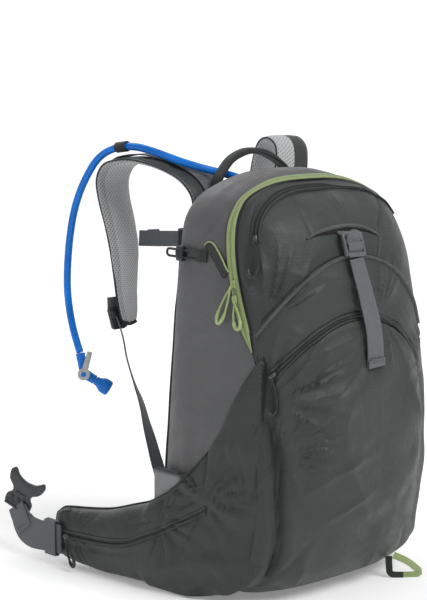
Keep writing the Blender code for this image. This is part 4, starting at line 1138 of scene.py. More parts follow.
# creases that fan out on a wing: y, z, depth, reach, seed and arms
WING_FANS = (
    (-0.008, 0.122, 0.0052, 0.100, 3, 3.0), (0.055, 0.088, 0.0046, 0.070, 9, 3.0),
    (-0.062, 0.120, 0.0042, 0.090, 15, 3.2), (0.200, 0.045, 0.0024, 0.06, 5, 3.0),
)
# its sewn tucks: the ends in y and z, and their depth
WING_TUCKS = (
    (0.052, 0.094, 0.058, 0.066, 0.0035), (0.012, 0.004, -0.016, 0.034, 0.0040),
    (-0.040, 0.016, -0.052, 0.046, 0.0030),
)
WING_POINTS = (34, 12)  # of each ring: on its outer side and on its inner side
BELT_X = 0.197


def wing_inner(y, z):
    """A wing's inner face: on the body in front, then off it."""
    near = side_x(y, np.maximum(z, 0.03)) + 0.0016
    share = np.clip((y + 0.01) / 0.03, 0, 1)
    panel = near + (0.1655 - near) * share
    rear = np.interp(y, (0.086, 0.12, 0.16, 0.20, 0.246), (0.152, 0.157, 0.163, 0.168, 0.180))
    return panel + (rear - panel) * smooth(0.082, 0.090, y)


def surface_of(obj):
    """Finds the point and normal where a level ray from the side meets a piece."""
    tree = BVHTree.FromObject(obj, bpy.context.evaluated_depsgraph_get())

    def hit(x_from, y, z):
        place, normal, _, _ = tree.ray_cast(Vector((x_from, y, z)), Vector((-math.copysign(1, x_from), 0, 0)))
        return (np.array(place), np.array(normal)) if place else None

    return hit


def wing_rings(side):
    """The CAD's wing a little thinner, as rings from front to back, and which points the filling can't move."""
    step = 0.0045
    ys = np.arange(-0.0725, 0.2455, step)
    n_out, n_in = WING_POINTS
    rings, held = [], []
    for k, y in enumerate(ys):
        out, top, low = (float(interp(WING_Y, t, y)) for t in (WING_OUT, WING_TOP, WING_BOTTOM))
        if y > 0.225:
            out -= 0.004 * ((y - 0.225) / 0.02) ** 2
        middle, half = (top + low) / 2, (top - low) / 2 - 0.0010
        t = np.linspace(0, math.pi, n_out)
        h = middle - half * np.cos(t)
        inside = wing_inner(y, h)
        # the CAD's outline less a little, so that the filling can swell
        depth = np.maximum(0.0024, (out - 0.0035 - inside)) * np.maximum(np.sin(t), 0.02) ** 0.62
        outer = np.stack([side * (inside + depth), np.full(n_out, y), h], 1)
        h2 = middle + half * np.cos(np.linspace(0, math.pi, n_in + 2)[1:-1])
        inner = np.stack([side * wing_inner(y, h2), np.full(n_in, y), h2], 1)
        rings.append(np.concatenate([outer, inner]))
        end = min(k, len(ys) - 1 - k)
        hold = np.where((t < 0.10) | (t > math.pi - 0.10), 1.0, 0.0)
        if end < 1:
            hold[:] = 1.0
        held.append(np.concatenate([hold, np.ones(n_in)]))
    return rings, np.concatenate(held)


def wing_creases(side):
    """The relief of a wing's outer face, for move_points."""

    def crease(co, no):
        _, y, z = co.T
        outside = smooth(0.2, 0.8, side * no[:, 0])
        h = np.zeros(len(co))
        for cy, cz, amount, reach, seed, arms in WING_FANS:
            r, a = np.hypot(y - cy, z - cz), np.arctan2(z - cz, y - cy)
            amount = amount * smooth(reach, reach * 0.3, r) * smooth(0.002, 0.024, r)
            h -= amount * folds(a * arms, r * 8, seed, 2.2)
        h += 0.0032 * folds(y * 10 + z * 9, z * 9, 17, 1.8) * smooth(0.0, 0.02, z)
        h += 0.0030 * folds(y * 6 - z * 22, z * 7 + y * 5, 31, 2.0) * smooth(0.03, -0.03, y)
        h += 0.0012 * noise(np.stack([y * 26, z * 26], -1), 19)
        for *ends, depth in WING_TUCKS:
            t, d = to_segment(y, z, *ends)
            h -= depth * groove(d, 0.0045) * (1 - 0.5 * t)
        # the zip's line pulls in
        line = interp(WING_LINE_Y, WING_LINE_Z, np.clip(y, -0.012, 0.226))
        h -= 0.0024 * groove(z - line, 0.0045) * smooth(-0.03, 0.0, y)
        h -= 0.0016 * groove(z - line + 0.013, 0.003) * smooth(0.07, 0.12, y)
        h = np.maximum(h, -0.0026 - 0.0060 * smooth(-0.01, 0.04, y))  # stay outside the body
        moved = no * (h * outside)[:, None]
        moved[:, 2] = np.maximum(moved[:, 2], 0.0008 - z)
        return moved

    return crease


def wing(side, name):
    """One hip wing with its zip, edges and slider, and a dark cord along the seam before it as its painted shadow."""
    rings, held = wing_rings(side)
    p = Piece(f"hip_wing_fabric_{name}")
    p.rings(np.array(rings), M["dark_o"])
    obj = p.done(80)
    pad_out(obj, held, 0.0060, 5.0, 14, 10.0)
    finer(obj)
    move_points(obj, wing_creases(side))
    fold = ((side * 0.17, 0.078, 0.05), (side * 0.17, 0.095, 0.05))
    bend = lambda o, *nodes: attach_fold(o, "pack", f"hip_wing_{name}", *fold, *nodes, slot="ripstop_dark")
    hit = surface_of(obj)

    def follow(points, lift):
        out, outward = [], []
        for y, z in points:
            found = hit(side * 0.3, y, z)
            if found:
                out.append(found[0] + found[1] * lift)
                outward.append(found[1])
        return np.array(out), np.array(outward)

    bend(obj, f"side_panel_{name}", f"hip_wing_{name}")
    # the zip along the wing, with its two folds
    ys = np.linspace(0.226, -0.010, 96)
    route = np.stack([ys, interp(WING_LINE_Y, WING_LINE_Z, ys)], 1)
    p = Piece(f"wing_zip_{name}")
    line, n = follow(route, 0.0004)
    p.sweep(line, strip_profile(0.0030, 0.0012, 0.0003), n, M["coil"])
    for dz in (-0.0033, 0.0033):
        edge, n2 = follow(route + (0, dz), 0.0008)
        p.sweep(edge, strip_profile(0.0038, 0.0018, 0.0008), n2, M["dark"])
    bend(p.done())
    # the panel seams and the bound edges
    p = Piece(f"wing_edges_{name}")
    tops = np.array([(y, float(interp(WING_Y, WING_TOP, y))) for y in np.linspace(-0.070, 0.243, 110)])
    top = np.array([(side * (float(wing_inner(y, z)) + 0.0016), y, z - 0.0006) for y, z in tops])
    p.tube(top, 0.0016, M["trim"], sides=8)
    bend(p.done())
    p = Piece(f"wing_tip_binding_{name}")
    p.tube(rings[-1][: WING_POINTS[0] + 1] * (1, 1, 0.985) + (0, 0.0006, 0.0005), 0.0020, M["trim_grey"], sides=10)
    corner, n3 = follow(np.array([(0.2330, 0.0640), (0.2260, 0.0685), (0.2180, 0.0700)]), 0.0006)
    if len(corner) == 3:
        p.sweep(through(corner, 0.002), strip_profile(0.0050, 0.0014, 0.0004), n3[1], M["trim_grey"])
    attach(p.done(), f"hip_wing_{name}", slot="webbing")
    # a dark cord along the deep seam before the wing, as its painted shadow
    p = Piece(f"wing_seam_shadow_{name}")
    up = np.linspace(0.034, 0.292, 80)
    line, _ = front_points(side * interp(SEAM_UP, SEAM_OUT, up), up, 0.0004)
    p.tube(line, 0.0013, M["cord"], sides=8)
    attach(p.done(), "pack", slot="ripstop_dark")
    # slider and its long pull
    start, stop = (np.array((side * float(interp(WING_Y, WING_OUT, y)), y, z)) for y, z in WING_ZIP)
    off = np.array((side, 0, 0))
    p = Piece(f"wing_slider_body_{name}")
    slider_body(p, start + off * 0.0012, stop - start, off, M["metal"])
    cord_pull(p, start + off * 0.0018, (0, -0.50, -1), off, 0.030, 0.009, M["cord"], M["plastic"], 0.0020, 0.66)
    attach(p.done(), f"wing_slider_{name}", f"wing_slider_{name}", slot="zip")


def side_pocket(name):
    """A stretch pocket: a bag of knitted fabric with a bound, elastic mouth."""
    low, high = (np.array(v, float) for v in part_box(f"side_pocket_{name}"))
    c, h = (low + high) / 2, (high - low) / 2
    t = circle(60)
    shape = np.stack([np.sign(v) * np.abs(v) ** 0.35 for v in (np.cos(t), np.sin(t))], 1)
    tall = high[2] - low[2]
    levels = np.concatenate([[0, 0.002, 0.006], np.arange(0.012, tall - 0.004, 0.006), [tall]])
    rings = []
    for z, grow in [(z, 0.0) for z in levels] + [(z, 0.0012) for z in levels[:0:-1]] + [(0.0015, 0.0012)]:
        k = 1 - 0.10 * math.exp(-z / 0.003) - 0.03 * smooth(0.10, 0.128, z)
        ring = np.stack([c[0] + shape[:, 0] * (h[0] * k - grow), c[1] + shape[:, 1] * (h[1] * k - grow),
                         np.full(60, low[2] + z)], 1)
        ring[:, 1] += 0.0006 * noise(np.stack([t * 4, t * 0 + z * 60], 1), 81)
        rings.append(ring)
    p = Piece(f"stretch_pocket_{name}")
    p.rings(np.array(rings), M["stretch"])
    rim = np.array(rings[len(levels) - 1]) + np.array((0, 0, 0.0002))
    p.tube(rim, 0.0012, M["trim_grey"], closed=True, sides=8)
    attach(p.done(60), "pack", f"side_pocket_{name}", slot="ripstop_grey")


def outline_rings(outline, x, thick, bevel):
    """Rings of a flat plate with rounded edges, from its outline in y and z."""
    o = np.array(outline, float)
    before, after = unit(o - np.roll(o, 1, 0)), unit(np.roll(o, -1, 0) - o)
    area = np.sum(o[:, 0] * np.roll(o[:, 1], -1) - np.roll(o[:, 0], -1) * o[:, 1])
    n = unit(np.stack([-(before + after)[:, 1], (before + after)[:, 0]], 1)) * (1 if area > 0 else -1)
    rows = [(-thick / 2, bevel), (-thick / 2 + bevel * 0.3, bevel * 0.3), (-thick / 2 + bevel, 0),
            (thick / 2 - bevel, 0), (thick / 2 - bevel * 0.3, bevel * 0.3), (thick / 2, bevel)]
    return np.array([[(x + dx, *(q + n[i] * inset)) for i, q in enumerate(o)] for dx, inset in rows])


def rounded(outline, r, steps=4):
    """A polygon with its corners cut round."""
    o = np.array(outline, float)
    out = []
    for i in range(len(o)):
        a, b, c = o[i - 1], o[i], o[(i + 1) % len(o)]
        k = min(r, np.linalg.norm(a - b) * 0.45, np.linalg.norm(c - b) * 0.45)
        p, q = b + unit(a - b) * k, b + unit(c - b) * k
        for t in np.linspace(0, 1, steps):
            out.append((1 - t) ** 2 * p + 2 * t * (1 - t) * b + t * t * q)
    return np.array(out)


HALF_PRONGS = ((0.017, 0.000), (0.017, 0.011), (0.0115, 0.015), (0.0125, 0.021), (0.0215, 0.027), (0.0240, 0.037),
               (0.0215, 0.0415), (0.0185, 0.0415), (0.0120, 0.0350))
PRONGS = ((-0.017, 0.0), *HALF_PRONGS, (0.0, 0.0325), *((-x, y) for x, y in HALF_PRONGS[:0:-1]))
BELT_WEB = ((0.219, 0.0340), (0.240, 0.0335), (0.262, 0.0318), (0.280, 0.0325), (0.2945, 0.0390), (0.3060, 0.0560))
BELT_FOLD = ((0.3085, 0.0600), (0.3010, 0.0475), (0.2900, 0.0330))
BELT_KEEPER = ((0.0026, 0.0125), (0.0032, 0.034), (0.0026, 0.0555),
               (-0.0030, 0.0560), (-0.0042, 0.034), (-0.0030, 0.0120))
BUCKLE_Y, BUCKLE_Z = 0.299, 0.0645
BUCKLE_LEAN, BUCKLE_FACE = math.radians(26), math.radians(24)  # the male half's tilt, and its turn to the front


def belt(side, name):
    """The belt's webbing and keeper, and its half of the buckle."""
    x = side * BELT_X
    p = Piece(f"belt_web_{name}")
    route = through([(x - side * 0.0006, y, z) for y, z in BELT_WEB], 0.003)
    width = np.interp(np.linspace(0, 1, len(route)), (0, 0.4, 0.75, 1), (0.036, 0.038, 0.044, 0.034))
    p.sweep(route, strip_profile(1.0, 0.0022), (side, 0, 0), M["web"], np.stack([width, np.ones(len(route))], 1))
    fold = [(x + side * 0.0016, y, z) for y, z in BELT_FOLD]
    p.sweep(through(fold, 0.003), strip_profile(0.0330, 0.0018), (side, 0, 0), M["web"])
    a, b = np.array(fold[0]), np.array(fold[2])
    across = unit(np.cross(b - a, (1, 0, 0)))
    for k in (0.80, 0.86):  # two rows of stitches
        c = a + (b - a) * k + (side * 0.001, 0, 0)
        p.tube([c - across * 0.014, c + across * 0.014], 0.0004, M["trim_grey"], sides=6)
    attach(p.done(), f"hip_wing_{name}", f"belt_webbing_{name}", slot="webbing")
    p = Piece(f"belt_keeper_{name}")
    loop = [(x + side * a, 0.2365, z) for a, z in BELT_KEEPER]
    loop = through(loop + loop[:1], 0.004)[:-1]
    ups = unit(loop - loop.mean(0)) * (1, 0, 1)
    p.sweep(loop, strip_profile(0.0215, 0.0014), ups, M["trim_grey"], closed=True)
    attach(p.done(), f"hip_wing_{name}", slot="webbing")
    if name == "left":
        p = Piece("buckle_male")
        p.rings(outline_rings(rounded(PRONGS, 0.0040), 0, 0.0062, 0.0010), M["slate"])
        cos, sin = math.cos(BUCKLE_LEAN), math.sin(BUCKLE_LEAN)
        wide = np.array((side * math.sin(BUCKLE_FACE), math.cos(BUCKLE_FACE), 0))
        out = np.array((math.cos(BUCKLE_FACE), -side * math.sin(BUCKLE_FACE), 0))
        up, level = (0, 0, cos) - sin * wide, (0, 0, sin) + cos * wide
        at = placed((x, BUCKLE_Y + 0.0100, BUCKLE_Z - 0.0060), level, up, out)
        body = np.concatenate(p.points)
        p.points = [at(body[:, 1:2] * 1.10, body[:, 2:] * 1.12, body[:, :1])]
        for k in (-0.010, 0.0, 0.010):
            p.block(at(k, 0.0085, -0.0034), (up, level, out), (0.0100, 0.0050, 0.0014), M["plastic"], 0.0005)
        p.block(at(0, 0.0200, -0.0032), (level, up, out), (0.0150, 0.0022, 0.0014), M["plastic"], 0.0005)
        for k in (0.0, 0.0045):
            p.tube([at(-0.0165, k, -0.0026), at(0.0165, k, -0.0026)], 0.0020, M["slate"])
        attach(p.done(30), "belt_buckle_male", "belt_buckle_male", slot="plastic")
    else:
        look_of("belt_buckle_female", "slate")
        p = Piece("buckle_female_ribs")
        for dz in (0.010, 0.0155, 0.021):
            p.block((x + 0.0064, BUCKLE_Y, BUCKLE_Z + dz), ((0, 1, 0), (0, 0, 1), (1, 0, 0)), (0.030, 0.0022, 0.0012),
                    M["slate"], 0.0005)
        attach(p.done(30), "belt_buckle_female", slot="plastic")


# ---------------------------------------------------------------- harness

STRAPS = {  # a point on the strap's centre line, and its width there
    "left": ((-0.056, 0.0975, 0.436, 0.060), (-0.057, 0.1005, 0.460, 0.060), (-0.060, 0.120, 0.479, 0.060),
             (-0.066, 0.155, 0.492, 0.059), (-0.073, 0.188, 0.498, 0.058), (-0.079, 0.216, 0.497, 0.056),
             (-0.0800, 0.2400, 0.4900, 0.055), (-0.0805, 0.2520, 0.472, 0.053), (-0.0815, 0.2480, 0.448, 0.051),
             (-0.0835, 0.2350, 0.418, 0.049), (-0.0860, 0.2250, 0.388, 0.045), (-0.0885, 0.2185, 0.352, 0.038),
             (-0.0905, 0.2140, 0.320, 0.031), (-0.0915, 0.2090, 0.297, 0.022)),
    "right": ((0.070, 0.0975, 0.436, 0.058), (0.078, 0.1000, 0.465, 0.056), (0.088, 0.1040, 0.493, 0.054),
              (0.0935, 0.1120, 0.5130, 0.054), (0.0955, 0.1270, 0.5220, 0.053), (0.0965, 0.1430, 0.5180, 0.052),
              (0.0970, 0.1540, 0.4990, 0.051), (0.0970, 0.1640, 0.460, 0.049), (0.099, 0.1740, 0.418, 0.047),
              (0.103, 0.1810, 0.376, 0.042), (0.108, 0.1840, 0.338, 0.034), (0.1115, 0.1840, 0.314, 0.026)),
}
LADDER_LOCKS = {
    "left": ((-0.1030, 0.2245, 0.3150), (-0.1030, 0.2135, 0.2870)),
    "right": ((0.1130, 0.1945, 0.3220), (0.1140, 0.1875, 0.2930)),
}
WEB_ROUTES = {
    "left": ((-0.103, 0.2118, 0.2845), (-0.104, 0.196, 0.245), (-0.108, 0.170, 0.205), (-0.113, 0.146, 0.165),
             (-0.118, 0.1235, 0.125), (-0.121, 0.108, 0.095), (-0.120, 0.0975, 0.066)),
    "right": ((0.1142, 0.1862, 0.2900), (0.116, 0.177, 0.245), (0.118, 0.163, 0.205), (0.120, 0.145, 0.165),
              (0.121, 0.125, 0.125), (0.121, 0.108, 0.095), (0.120, 0.0975, 0.066)),
}


def outwards(path):
    """Normals away from the loop's inside, in the upright plane that a strap runs in."""
    d = np.gradient(path, axis=0)
    return unit(np.stack([np.zeros(len(path)), -d[:, 2], d[:, 1]], 1))


def ladder_lock(p, middle, along, across, off, width, length, material):
    """A slotted buckle: two rails, three bars and a lifting lip."""
    at = placed(middle, along, across, off)
    for k in (-1, 1):
        p.block(at(0, k * (width / 2 - 0.0018), 0), (along, across, off), (length, 0.0036, 0.0044), material, 0.0009)
    for k, r in ((-0.46, 0.0019), (0.0, 0.0016), (0.40, 0.0019)):
        p.tube([at(k * length, w * (width / 2 - 0.002), 0) for w in (-1, 0, 1)], r, material, sides=10)
    p.block(at(0.47 * length, 0, 0.0008), (across, along, off), (width * 0.78, 0.0040, 0.0028), material, 0.0008)


def strap_pad(name, centre, width, ups):
    """The padded strap: mesh against the wearer, dark fabric outside, and pinched rims."""
    n = 22
    t = np.linspace(0, math.pi, n)
    low = t[::-1][1:-1]
    profile = np.concatenate([np.stack([np.cos(t), STRAP_HALF * np.sin(t) ** 0.55], 1),
                              np.stack([np.cos(low), -STRAP_HALF * np.sin(low) ** 0.55], 1)])
    m = len(profile)
    p = Piece(f"shoulder_strap_pad_{name}")
    p.sweep(centre, profile, ups, M["mesh"], np.stack([width / 2 - 0.0006, np.ones(len(centre))], 1))
    # the third material, the darker spacer copy, is painted shade along one edge of the left strap
    p.materials += [M["dark"], M["mesh_shaded"]]
    for q in range((len(centre) - 1) * m):
        i = q % m
        rising = name == "right" and q // m < 0.44 * len(centre)
        if 2 <= i < (10 if rising else n - 3):
            p.index[q] = 1
        elif name == "left" and n - 3 <= i < n + 5:
            p.index[q] = 2
    obj = p.done(80)
    held = np.tile(np.where(np.abs(profile[:, 0]) > 0.93, 1.0, 0.0), (len(centre), 1))
    held[:3] = held[-3:] = 1.0
    pad_out(obj, held.ravel(), 0.0026, 5.0, 12, 12.0)
    finer(obj)

    def dents(co, no):
        soft = folds(co[:, 2] * 26, co[:, 0] * 12, 93, 1.5)
        return no * (0.0008 * noise(co * 38, 91) + 0.0009 * soft - 0.0004)[:, None]

    move_points(obj, dents)
    attach(obj, "pack", f"shoulder_strap_{name}", slot="mesh_grey")


def strap_trim(name, centre, width, ups):
    """The bound edges, and the outer web sewn down the strap with its bar tacks."""
    across = unit(np.cross(unit(np.gradient(centre, axis=0)), ups))
    p = Piece(f"strap_binding_{name}")
    for k in (-1, 1):
        edge = centre + across * (k * (width / 2 - 0.0006))[:, None]
        p.tube(edge + ups * 0.0012, 0.0011, M["trim"], sides=10)
    tip, half = centre[-1], across[-1] * (width[-1] / 2)
    end = through([tip + half, tip + unit(tip - centre[-3]) * 0.003, tip - half], 0.003)
    p.sweep(end, strip_profile(0.0045, 0.0026), ups[-1], M["trim"])
    attach(p.done(), "pack", slot="ripstop_dark")
    p = Piece(f"strap_top_web_{name}")
    first = int(len(centre) * (0.06 if name == "left" else 0.46))
    outer = centre + ups * (STRAP_HALF + 0.0022)
    p.sweep(outer[first:], strip_profile(WEB_WIDTH, 0.0016), ups[first:], M["web"])
    for k in np.linspace(0.12 if name == "left" else 0.50, 0.94, 6):
        i = int(k * (len(centre) - 1))
        c = outer[i] + ups[i] * 0.0010
        for d in (-0.0022, 0.0022):
            q = c + unit(centre[min(i + 1, len(centre) - 1)] - centre[i - 1]) * d
            p.tube([q - across[i] * 0.0085, q, q + across[i] * 0.0085], 0.0004, M["trim_grey"], sides=6)
    attach(p.done(), "pack", slot="webbing")


def strap_tail(name):
    """The ladder lock at the strap's end, and the webbing from it to the base of the pack."""
    top, bottom = (np.array(v) for v in LADDER_LOCKS[name])
    middle, way = (top + bottom) / 2, unit(bottom - top)
    side = unit(np.cross(way, (0, 1, -0.3)))
    off = np.cross(side, way)
    p = Piece(f"ladder_lock_body_{name}")
    ladder_lock(p, middle, way, side, off, 0.0235, 0.84 * float(np.linalg.norm(bottom - top)), M["slate"])
    p.block(middle - off * 0.0006, (way, side, off), (0.020, 0.0180, 0.0028), M["slate"], 0.0010)
    at = placed(top, way, off)
    web = [at(-0.012, -0.003), at(-0.002, 0.0005), at(0.006, 0.0026), middle - off * 0.001]
    p.sweep(through(web, 0.002), strip_profile(WEB_WIDTH, 0.0017), off, M["web"])
    attach(p.done(), "pack", f"ladder_lock_{name}", slot="plastic")
    p = Piece(f"strap_web_{name}")
    line = through([tuple(middle + off * 0.0012), *WEB_ROUTES[name]], 0.005)
    s = np.linspace(0, 1, len(line))
    line[:, 0] += 0.0010 * noise(s[:, None] * 9, 97)
    twist = smooth(0.15, 0.75, s)[:, None]  # seen edge-on above, flat below
    edge_on = np.array((-0.73 if name == "left" else 0.73, 0.68, 0))
    p.sweep(line, strip_profile(WEB_WIDTH, WEB), edge_on * (1 - twist) + np.array((0, 1, 0.3)) * twist, M["web"])
    attach(p.done(), "pack", f"strap_webbing_{name}", slot="webbing")
    p = Piece(f"strap_anchor_{name}")
    end = np.array(WEB_ROUTES[name][-1])
    anchor = [end + q for q in ((0, 0.0012, 0.016), (0, 0.0014, 0.0), (0, -0.004, -0.014))]
    p.sweep(anchor, strip_profile(0.0215, 0.0028), (0, 1, 0), M["web_dark"])
    attach(p.done(), "pack", slot="ripstop_dark")


def harness():
    """Both shoulder straps and the strap across the chest."""
    for name, stations in STRAPS.items():
        route = through(stations, 0.0042)
        centre, width = route[:, :3], route[:, 3]
        ups = outwards(centre)
        strap_pad(name, centre, width, ups)
        strap_trim(name, centre, width, ups)
        strap_tail(name)
    sternum()


def sternum():
    """The chest strap: two webs that meet in a buckle."""
    a, b = np.array((-0.0600, 0.2262, 0.398)), np.array((0.0760, 0.1775, 0.398))
    middle = (a + b) / 2 + (0, 0, -0.003)
    along = unit(b - a)
    across = unit(np.cross(along, (0, 1, 0)))
    off = np.cross(across, along)
    p = Piece("sternum_web")
    sag = np.array((0, 0, 0.0006))
    line = through([a, (a + middle) / 2 - sag, middle, (b + middle) / 2 - sag, b], 0.004)
    p.sweep(line, strip_profile(WEB_WIDTH, WEB), off, M["web"])
    for q, way in ((a, 1), (b, -1)):  # the folded ends
        at = placed(q + along * (way * 0.020), along, off)
        p.sweep([at(-0.008, 0.0016), at(0, 0.0020), at(0.008, 0.0016)], strip_profile(0.0208, 0.0012), off, M["web"])
    attach(p.done(), "sternum", "sternum_strap", slot="webbing")
    look_of("sternum_buckle", "plastic")
    p = Piece("sternum_buckle_detail")
    at = placed(middle, along, off)
    for k in (-0.0105, 0.0105):
        p.block(at(k, 0.0047), (across, along, off), (0.018, 0.0030, 0.0014), M["plastic"], 0.0005)
    p.block(at(0, 0.0046), (along, across, off), (0.010, 0.020, 0.0014), M["slate"], 0.0006)
    attach(p.done(), "sternum", slot="plastic")


# ---------------------------------------------------------------- water

TUBE_R = 0.00475
TUBE_ROUTE = (
    (-0.0222, 0.0677, 0.4692), (-0.0250, 0.0725, 0.4750), (-0.0292, 0.0795, 0.4800), (-0.0345, 0.0880, 0.4830),
    (-0.0415, 0.0980, 0.4860), (-0.0520, 0.1080, 0.4895), (-0.0625, 0.1180, 0.4935), (-0.0730, 0.1310, 0.4985),
    (-0.0795, 0.1480, 0.5040),
    (-0.0845, 0.1700, 0.5100), (-0.0880, 0.1960, 0.5145), (-0.0915, 0.2200, 0.5140), (-0.0955, 0.2420, 0.5085),
    (-0.1000, 0.2590, 0.4970), (-0.1050, 0.2720, 0.4780), (-0.1100, 0.2825, 0.4550), (-0.1135, 0.2905, 0.4290),
    (-0.1160, 0.2955, 0.4000), (-0.1180, 0.2980, 0.3690), (-0.1195, 0.2980, 0.3380), (-0.1200, 0.2945, 0.3110),
    (-0.1200, 0.2875, 0.2850), (-0.1200, 0.2795, 0.2660), (-0.1200, 0.2730, 0.2530),
)
HUB = np.array((-0.1200, 0.2650, 0.2270))
HUB_AXIS = unit(np.array((-0.675, -0.738, 0)))
VALVE_OUT = np.array((0.55, -0.60, -0.52))
BITE_RINGS = ((0.0, 0.0050), (0.0006, 0.0058), (0.004, 0.0060), (0.0046, 0.0068), (0.0062, 0.0070), (0.009, 0.0090),
              (0.012, 0.0099), (0.016, 0.0101), (0.0195, 0.0098), (0.0210, 0.0088), (0.0215, 0.0070))
PORT = ((-0.0208, 0.0653, 0.4664), (-0.0285, 0.0785, 0.4822))  # the ends of the port's axis
CAP_CENTRE, CAP_R = (0, 0.0335, 0.325), 0.0418


def drinking_tube():
    """The hose with its elbow, shut-off lever and bite valve."""
    route = through(TUBE_ROUTE, 0.005)
    curve = bpy.data.curves.new("drink_hose", "CURVE")
    curve.dimensions, curve.bevel_depth, curve.bevel_resolution, curve.use_fill_caps = "3D", TUBE_R, 6, True
    spline = curve.splines.new("POLY")
    spline.points.add(len(route) - 1)
    for sp, q in zip(spline.points, route):
        sp.co = (*q, 1)
    spline.use_smooth = True
    curve.materials.append(M["blue"])
    hose = bpy.data.objects.new("drink_hose", curve)
    bpy.context.scene.collection.objects.link(hose)
    attach(hose, "pack", "drink_tube", slot="tube_blue")

    end = route[-1]
    inlet = unit(HUB - end)
    across = lambda v: unit(np.array(v) - HUB_AXIS * (np.array(v) @ HUB_AXIS))
    out = across(VALVE_OUT)
    p = Piece("valve_body")
    elbow = through([end + inlet * 0.0014, end + inlet * 0.012, HUB - inlet * 0.003,
                     HUB + out * 0.004, HUB + out * 0.0165], 0.0016)
    s = np.linspace(0, 1, len(elbow))
    p.tube(elbow, 0.0056 + 0.0007 * smooth(0.45, 0.62, s) * smooth(1.0, 0.75, s), M["valve"], sides=20)
    for c, way in ((end + inlet * 0.0030, inlet), (end + inlet * 0.0075, inlet), (HUB + out * 0.0145, out)):
        p.tube([c - way * 0.0010, c, c + way * 0.0010], (0.0060, 0.0064, 0.0060), M["valve"], sides=20)
    p.tube([HUB + HUB_AXIS * d for d in (-0.0060, -0.0050, 0.0055)], (0.0052, 0.0062, 0.0062), M["lever"], sides=24)
    valve = attach(p.done(), "pack", "valve_elbow", slot="tube_blue")
    up = across((0.20, -0.18, 0.96))
    axes = up, np.cross(HUB_AXIS, up), HUB_AXIS
    at = placed(HUB + HUB_AXIS * 0.0062, HUB_AXIS, up)
    p = Piece("shut_off_lever")
    disc = [at(d, 0) for d in (0, 0.0006, 0.0029, 0.0035)]
    p.tube(disc, (0.0070, 0.0078, 0.0078, 0.0070), M["lever"], sides=28)
    p.block(at(0.0018, 0.0170), axes, (0.026, 0.0078, 0.0032), M["lever"], 0.0011, 0.86)
    p.block(at(0.0036, 0.0225), axes, (0.0100, 0.0040, 0.0010), M["lever"], 0.0004)
    p.tube([at(0.0034, 0), at(0.0043, 0)], (0.0034, 0.0030), M["valve"], sides=20)
    lever = attach(p.done(30), "valve_lever", "valve_lever", slot="lever_grey")
    start = HUB + out * 0.0170
    wide = unit(np.cross(out, HUB_AXIS))
    off = np.cross(wide, out)
    rings = []
    for reach, r in BITE_RINGS:
        flat = 1 - 0.30 * reach / 0.0215
        rings.append(ring_of(start + out * reach, wide * r, off * (r * flat), 32))
    p = Piece("bite_valve_cap")
    p.rings(np.array(rings), M["valve"])
    bite = attach(p.done(60), "bite_valve", "bite_valve", slot="tube_blue")


def tube_fittings():
    """The keeper on the left strap and the port in the back."""
    before, middle, after = (np.array(TUBE_ROUTE[i]) for i in (10, 11, 12))
    ahead = unit(after - before)
    p = Piece("hose_keeper")
    upward = unit(np.cross(np.cross(ahead, (0, 0, 1)), ahead))
    sideways = np.cross(ahead, upward)
    ring = ring_of(middle, sideways * 0.0067, upward * 0.0060, 28)
    ups = unit(np.array(ring) - middle)
    p.sweep(ring, strip_profile(0.0170, 0.0013), ups, M["web_dark"], closed=True)
    attach(p.done(), "pack", "tube_keeper", slot="webbing")

    low, high = np.array(PORT[0]), np.array(PORT[1])
    p = Piece("hose_port")
    way = unit(high - low)
    mouth = low + (high - low) * 0.78
    for d, r, tr in ((0.0, 0.0086, 0.0013), (0.0010, 0.0076, 0.0014)):
        a = unit(np.cross(way, (0, 0, 1)))
        b = np.cross(way, a)
        p.tube(ring_of(mouth + way * d, a * r, b * r, 36), tr, M["plastic"], closed=True, sides=10)
    attach(p.done(), "pack", "tube_port", slot="plastic")


def reservoir():
    """Looks of the solids inside the pack, and the grip round the reservoir's cap."""
    for node, look in (("reservoir", "bladder"), ("reservoir_cap", "blue"), ("reservoir_divider", "grey"),
                       ("back_frame_sheet", "frame"), ("inner_hose", "blue"), ("quick_link", "plastic"),
                       ("quick_link_button", "lever"), ("cord_lock", "plastic")):
        look_of(node, look)
    cap = np.array(CAP_CENTRE)
    p = Piece("reservoir_cap_grip")
    for c in ring_of(cap + (0, 0.0055, 0), np.array((CAP_R, 0, 0)), np.array((0, 0, CAP_R)), 28):
        p.tube([c + (0, 0.0046, 0), c, c - (0, 0.0046, 0)], 0.0012, M["valve"], sides=6)
    p.block(cap + (0, -0.0001, 0), ((1, 0, 0), (0, 0, 1), (0, 1, 0)), (0.060, 0.010, 0.0018), M["valve"], 0.0007)
    attach(p.done(), "reservoir_cap", slot="tube_blue")


# ---------------------------------------------------------------- straps and loops on the body

FRONT_BUCKLE = np.array((-0.0115, -0.0935, 0.4115))
FRONT_TAIL = ((-0.0125, -0.0996, 0.3955), (-0.0115, -0.1045, 0.380), (-0.0085, -0.1130, 0.350),
              (-0.0045, -0.1205, 0.315), (-0.0015, -0.1208, 0.272))
HAUL = ((-0.0590, 0.0850, 0.4715), (-0.0545, 0.0850, 0.4825), (-0.0374, 0.0850, 0.5005), (-0.0180, 0.0850, 0.5090),
        (-0.0020, 0.0850, 0.5110), (0.0190, 0.0850, 0.5085), (0.0396, 0.0850, 0.4995), (0.0570, 0.0850, 0.4870),
        (0.0660, 0.0850, 0.4700))
LIGHT_LOOP = (
    (0.0680, -0.0850, 0.0262, -1, 0.9, 0), (0.0675, -0.0862, 0.0150, -1, 0.9, -0.1),
    (0.0690, -0.0880, 0.0045, -0.7, 0.65, -0.7), (0.0800, -0.0980, 0.0030, 0, 0, -1),
    (0.0930, -0.1085, 0.0036, 0.2, -0.2, -1), (0.0950, -0.1100, 0.0075, 0.9, -0.8, -0.3),
    (0.0850, -0.1005, 0.0190, 0.55, -0.5, 0.9), (0.0730, -0.0885, 0.0270, 0.5, -0.45, 1),
)
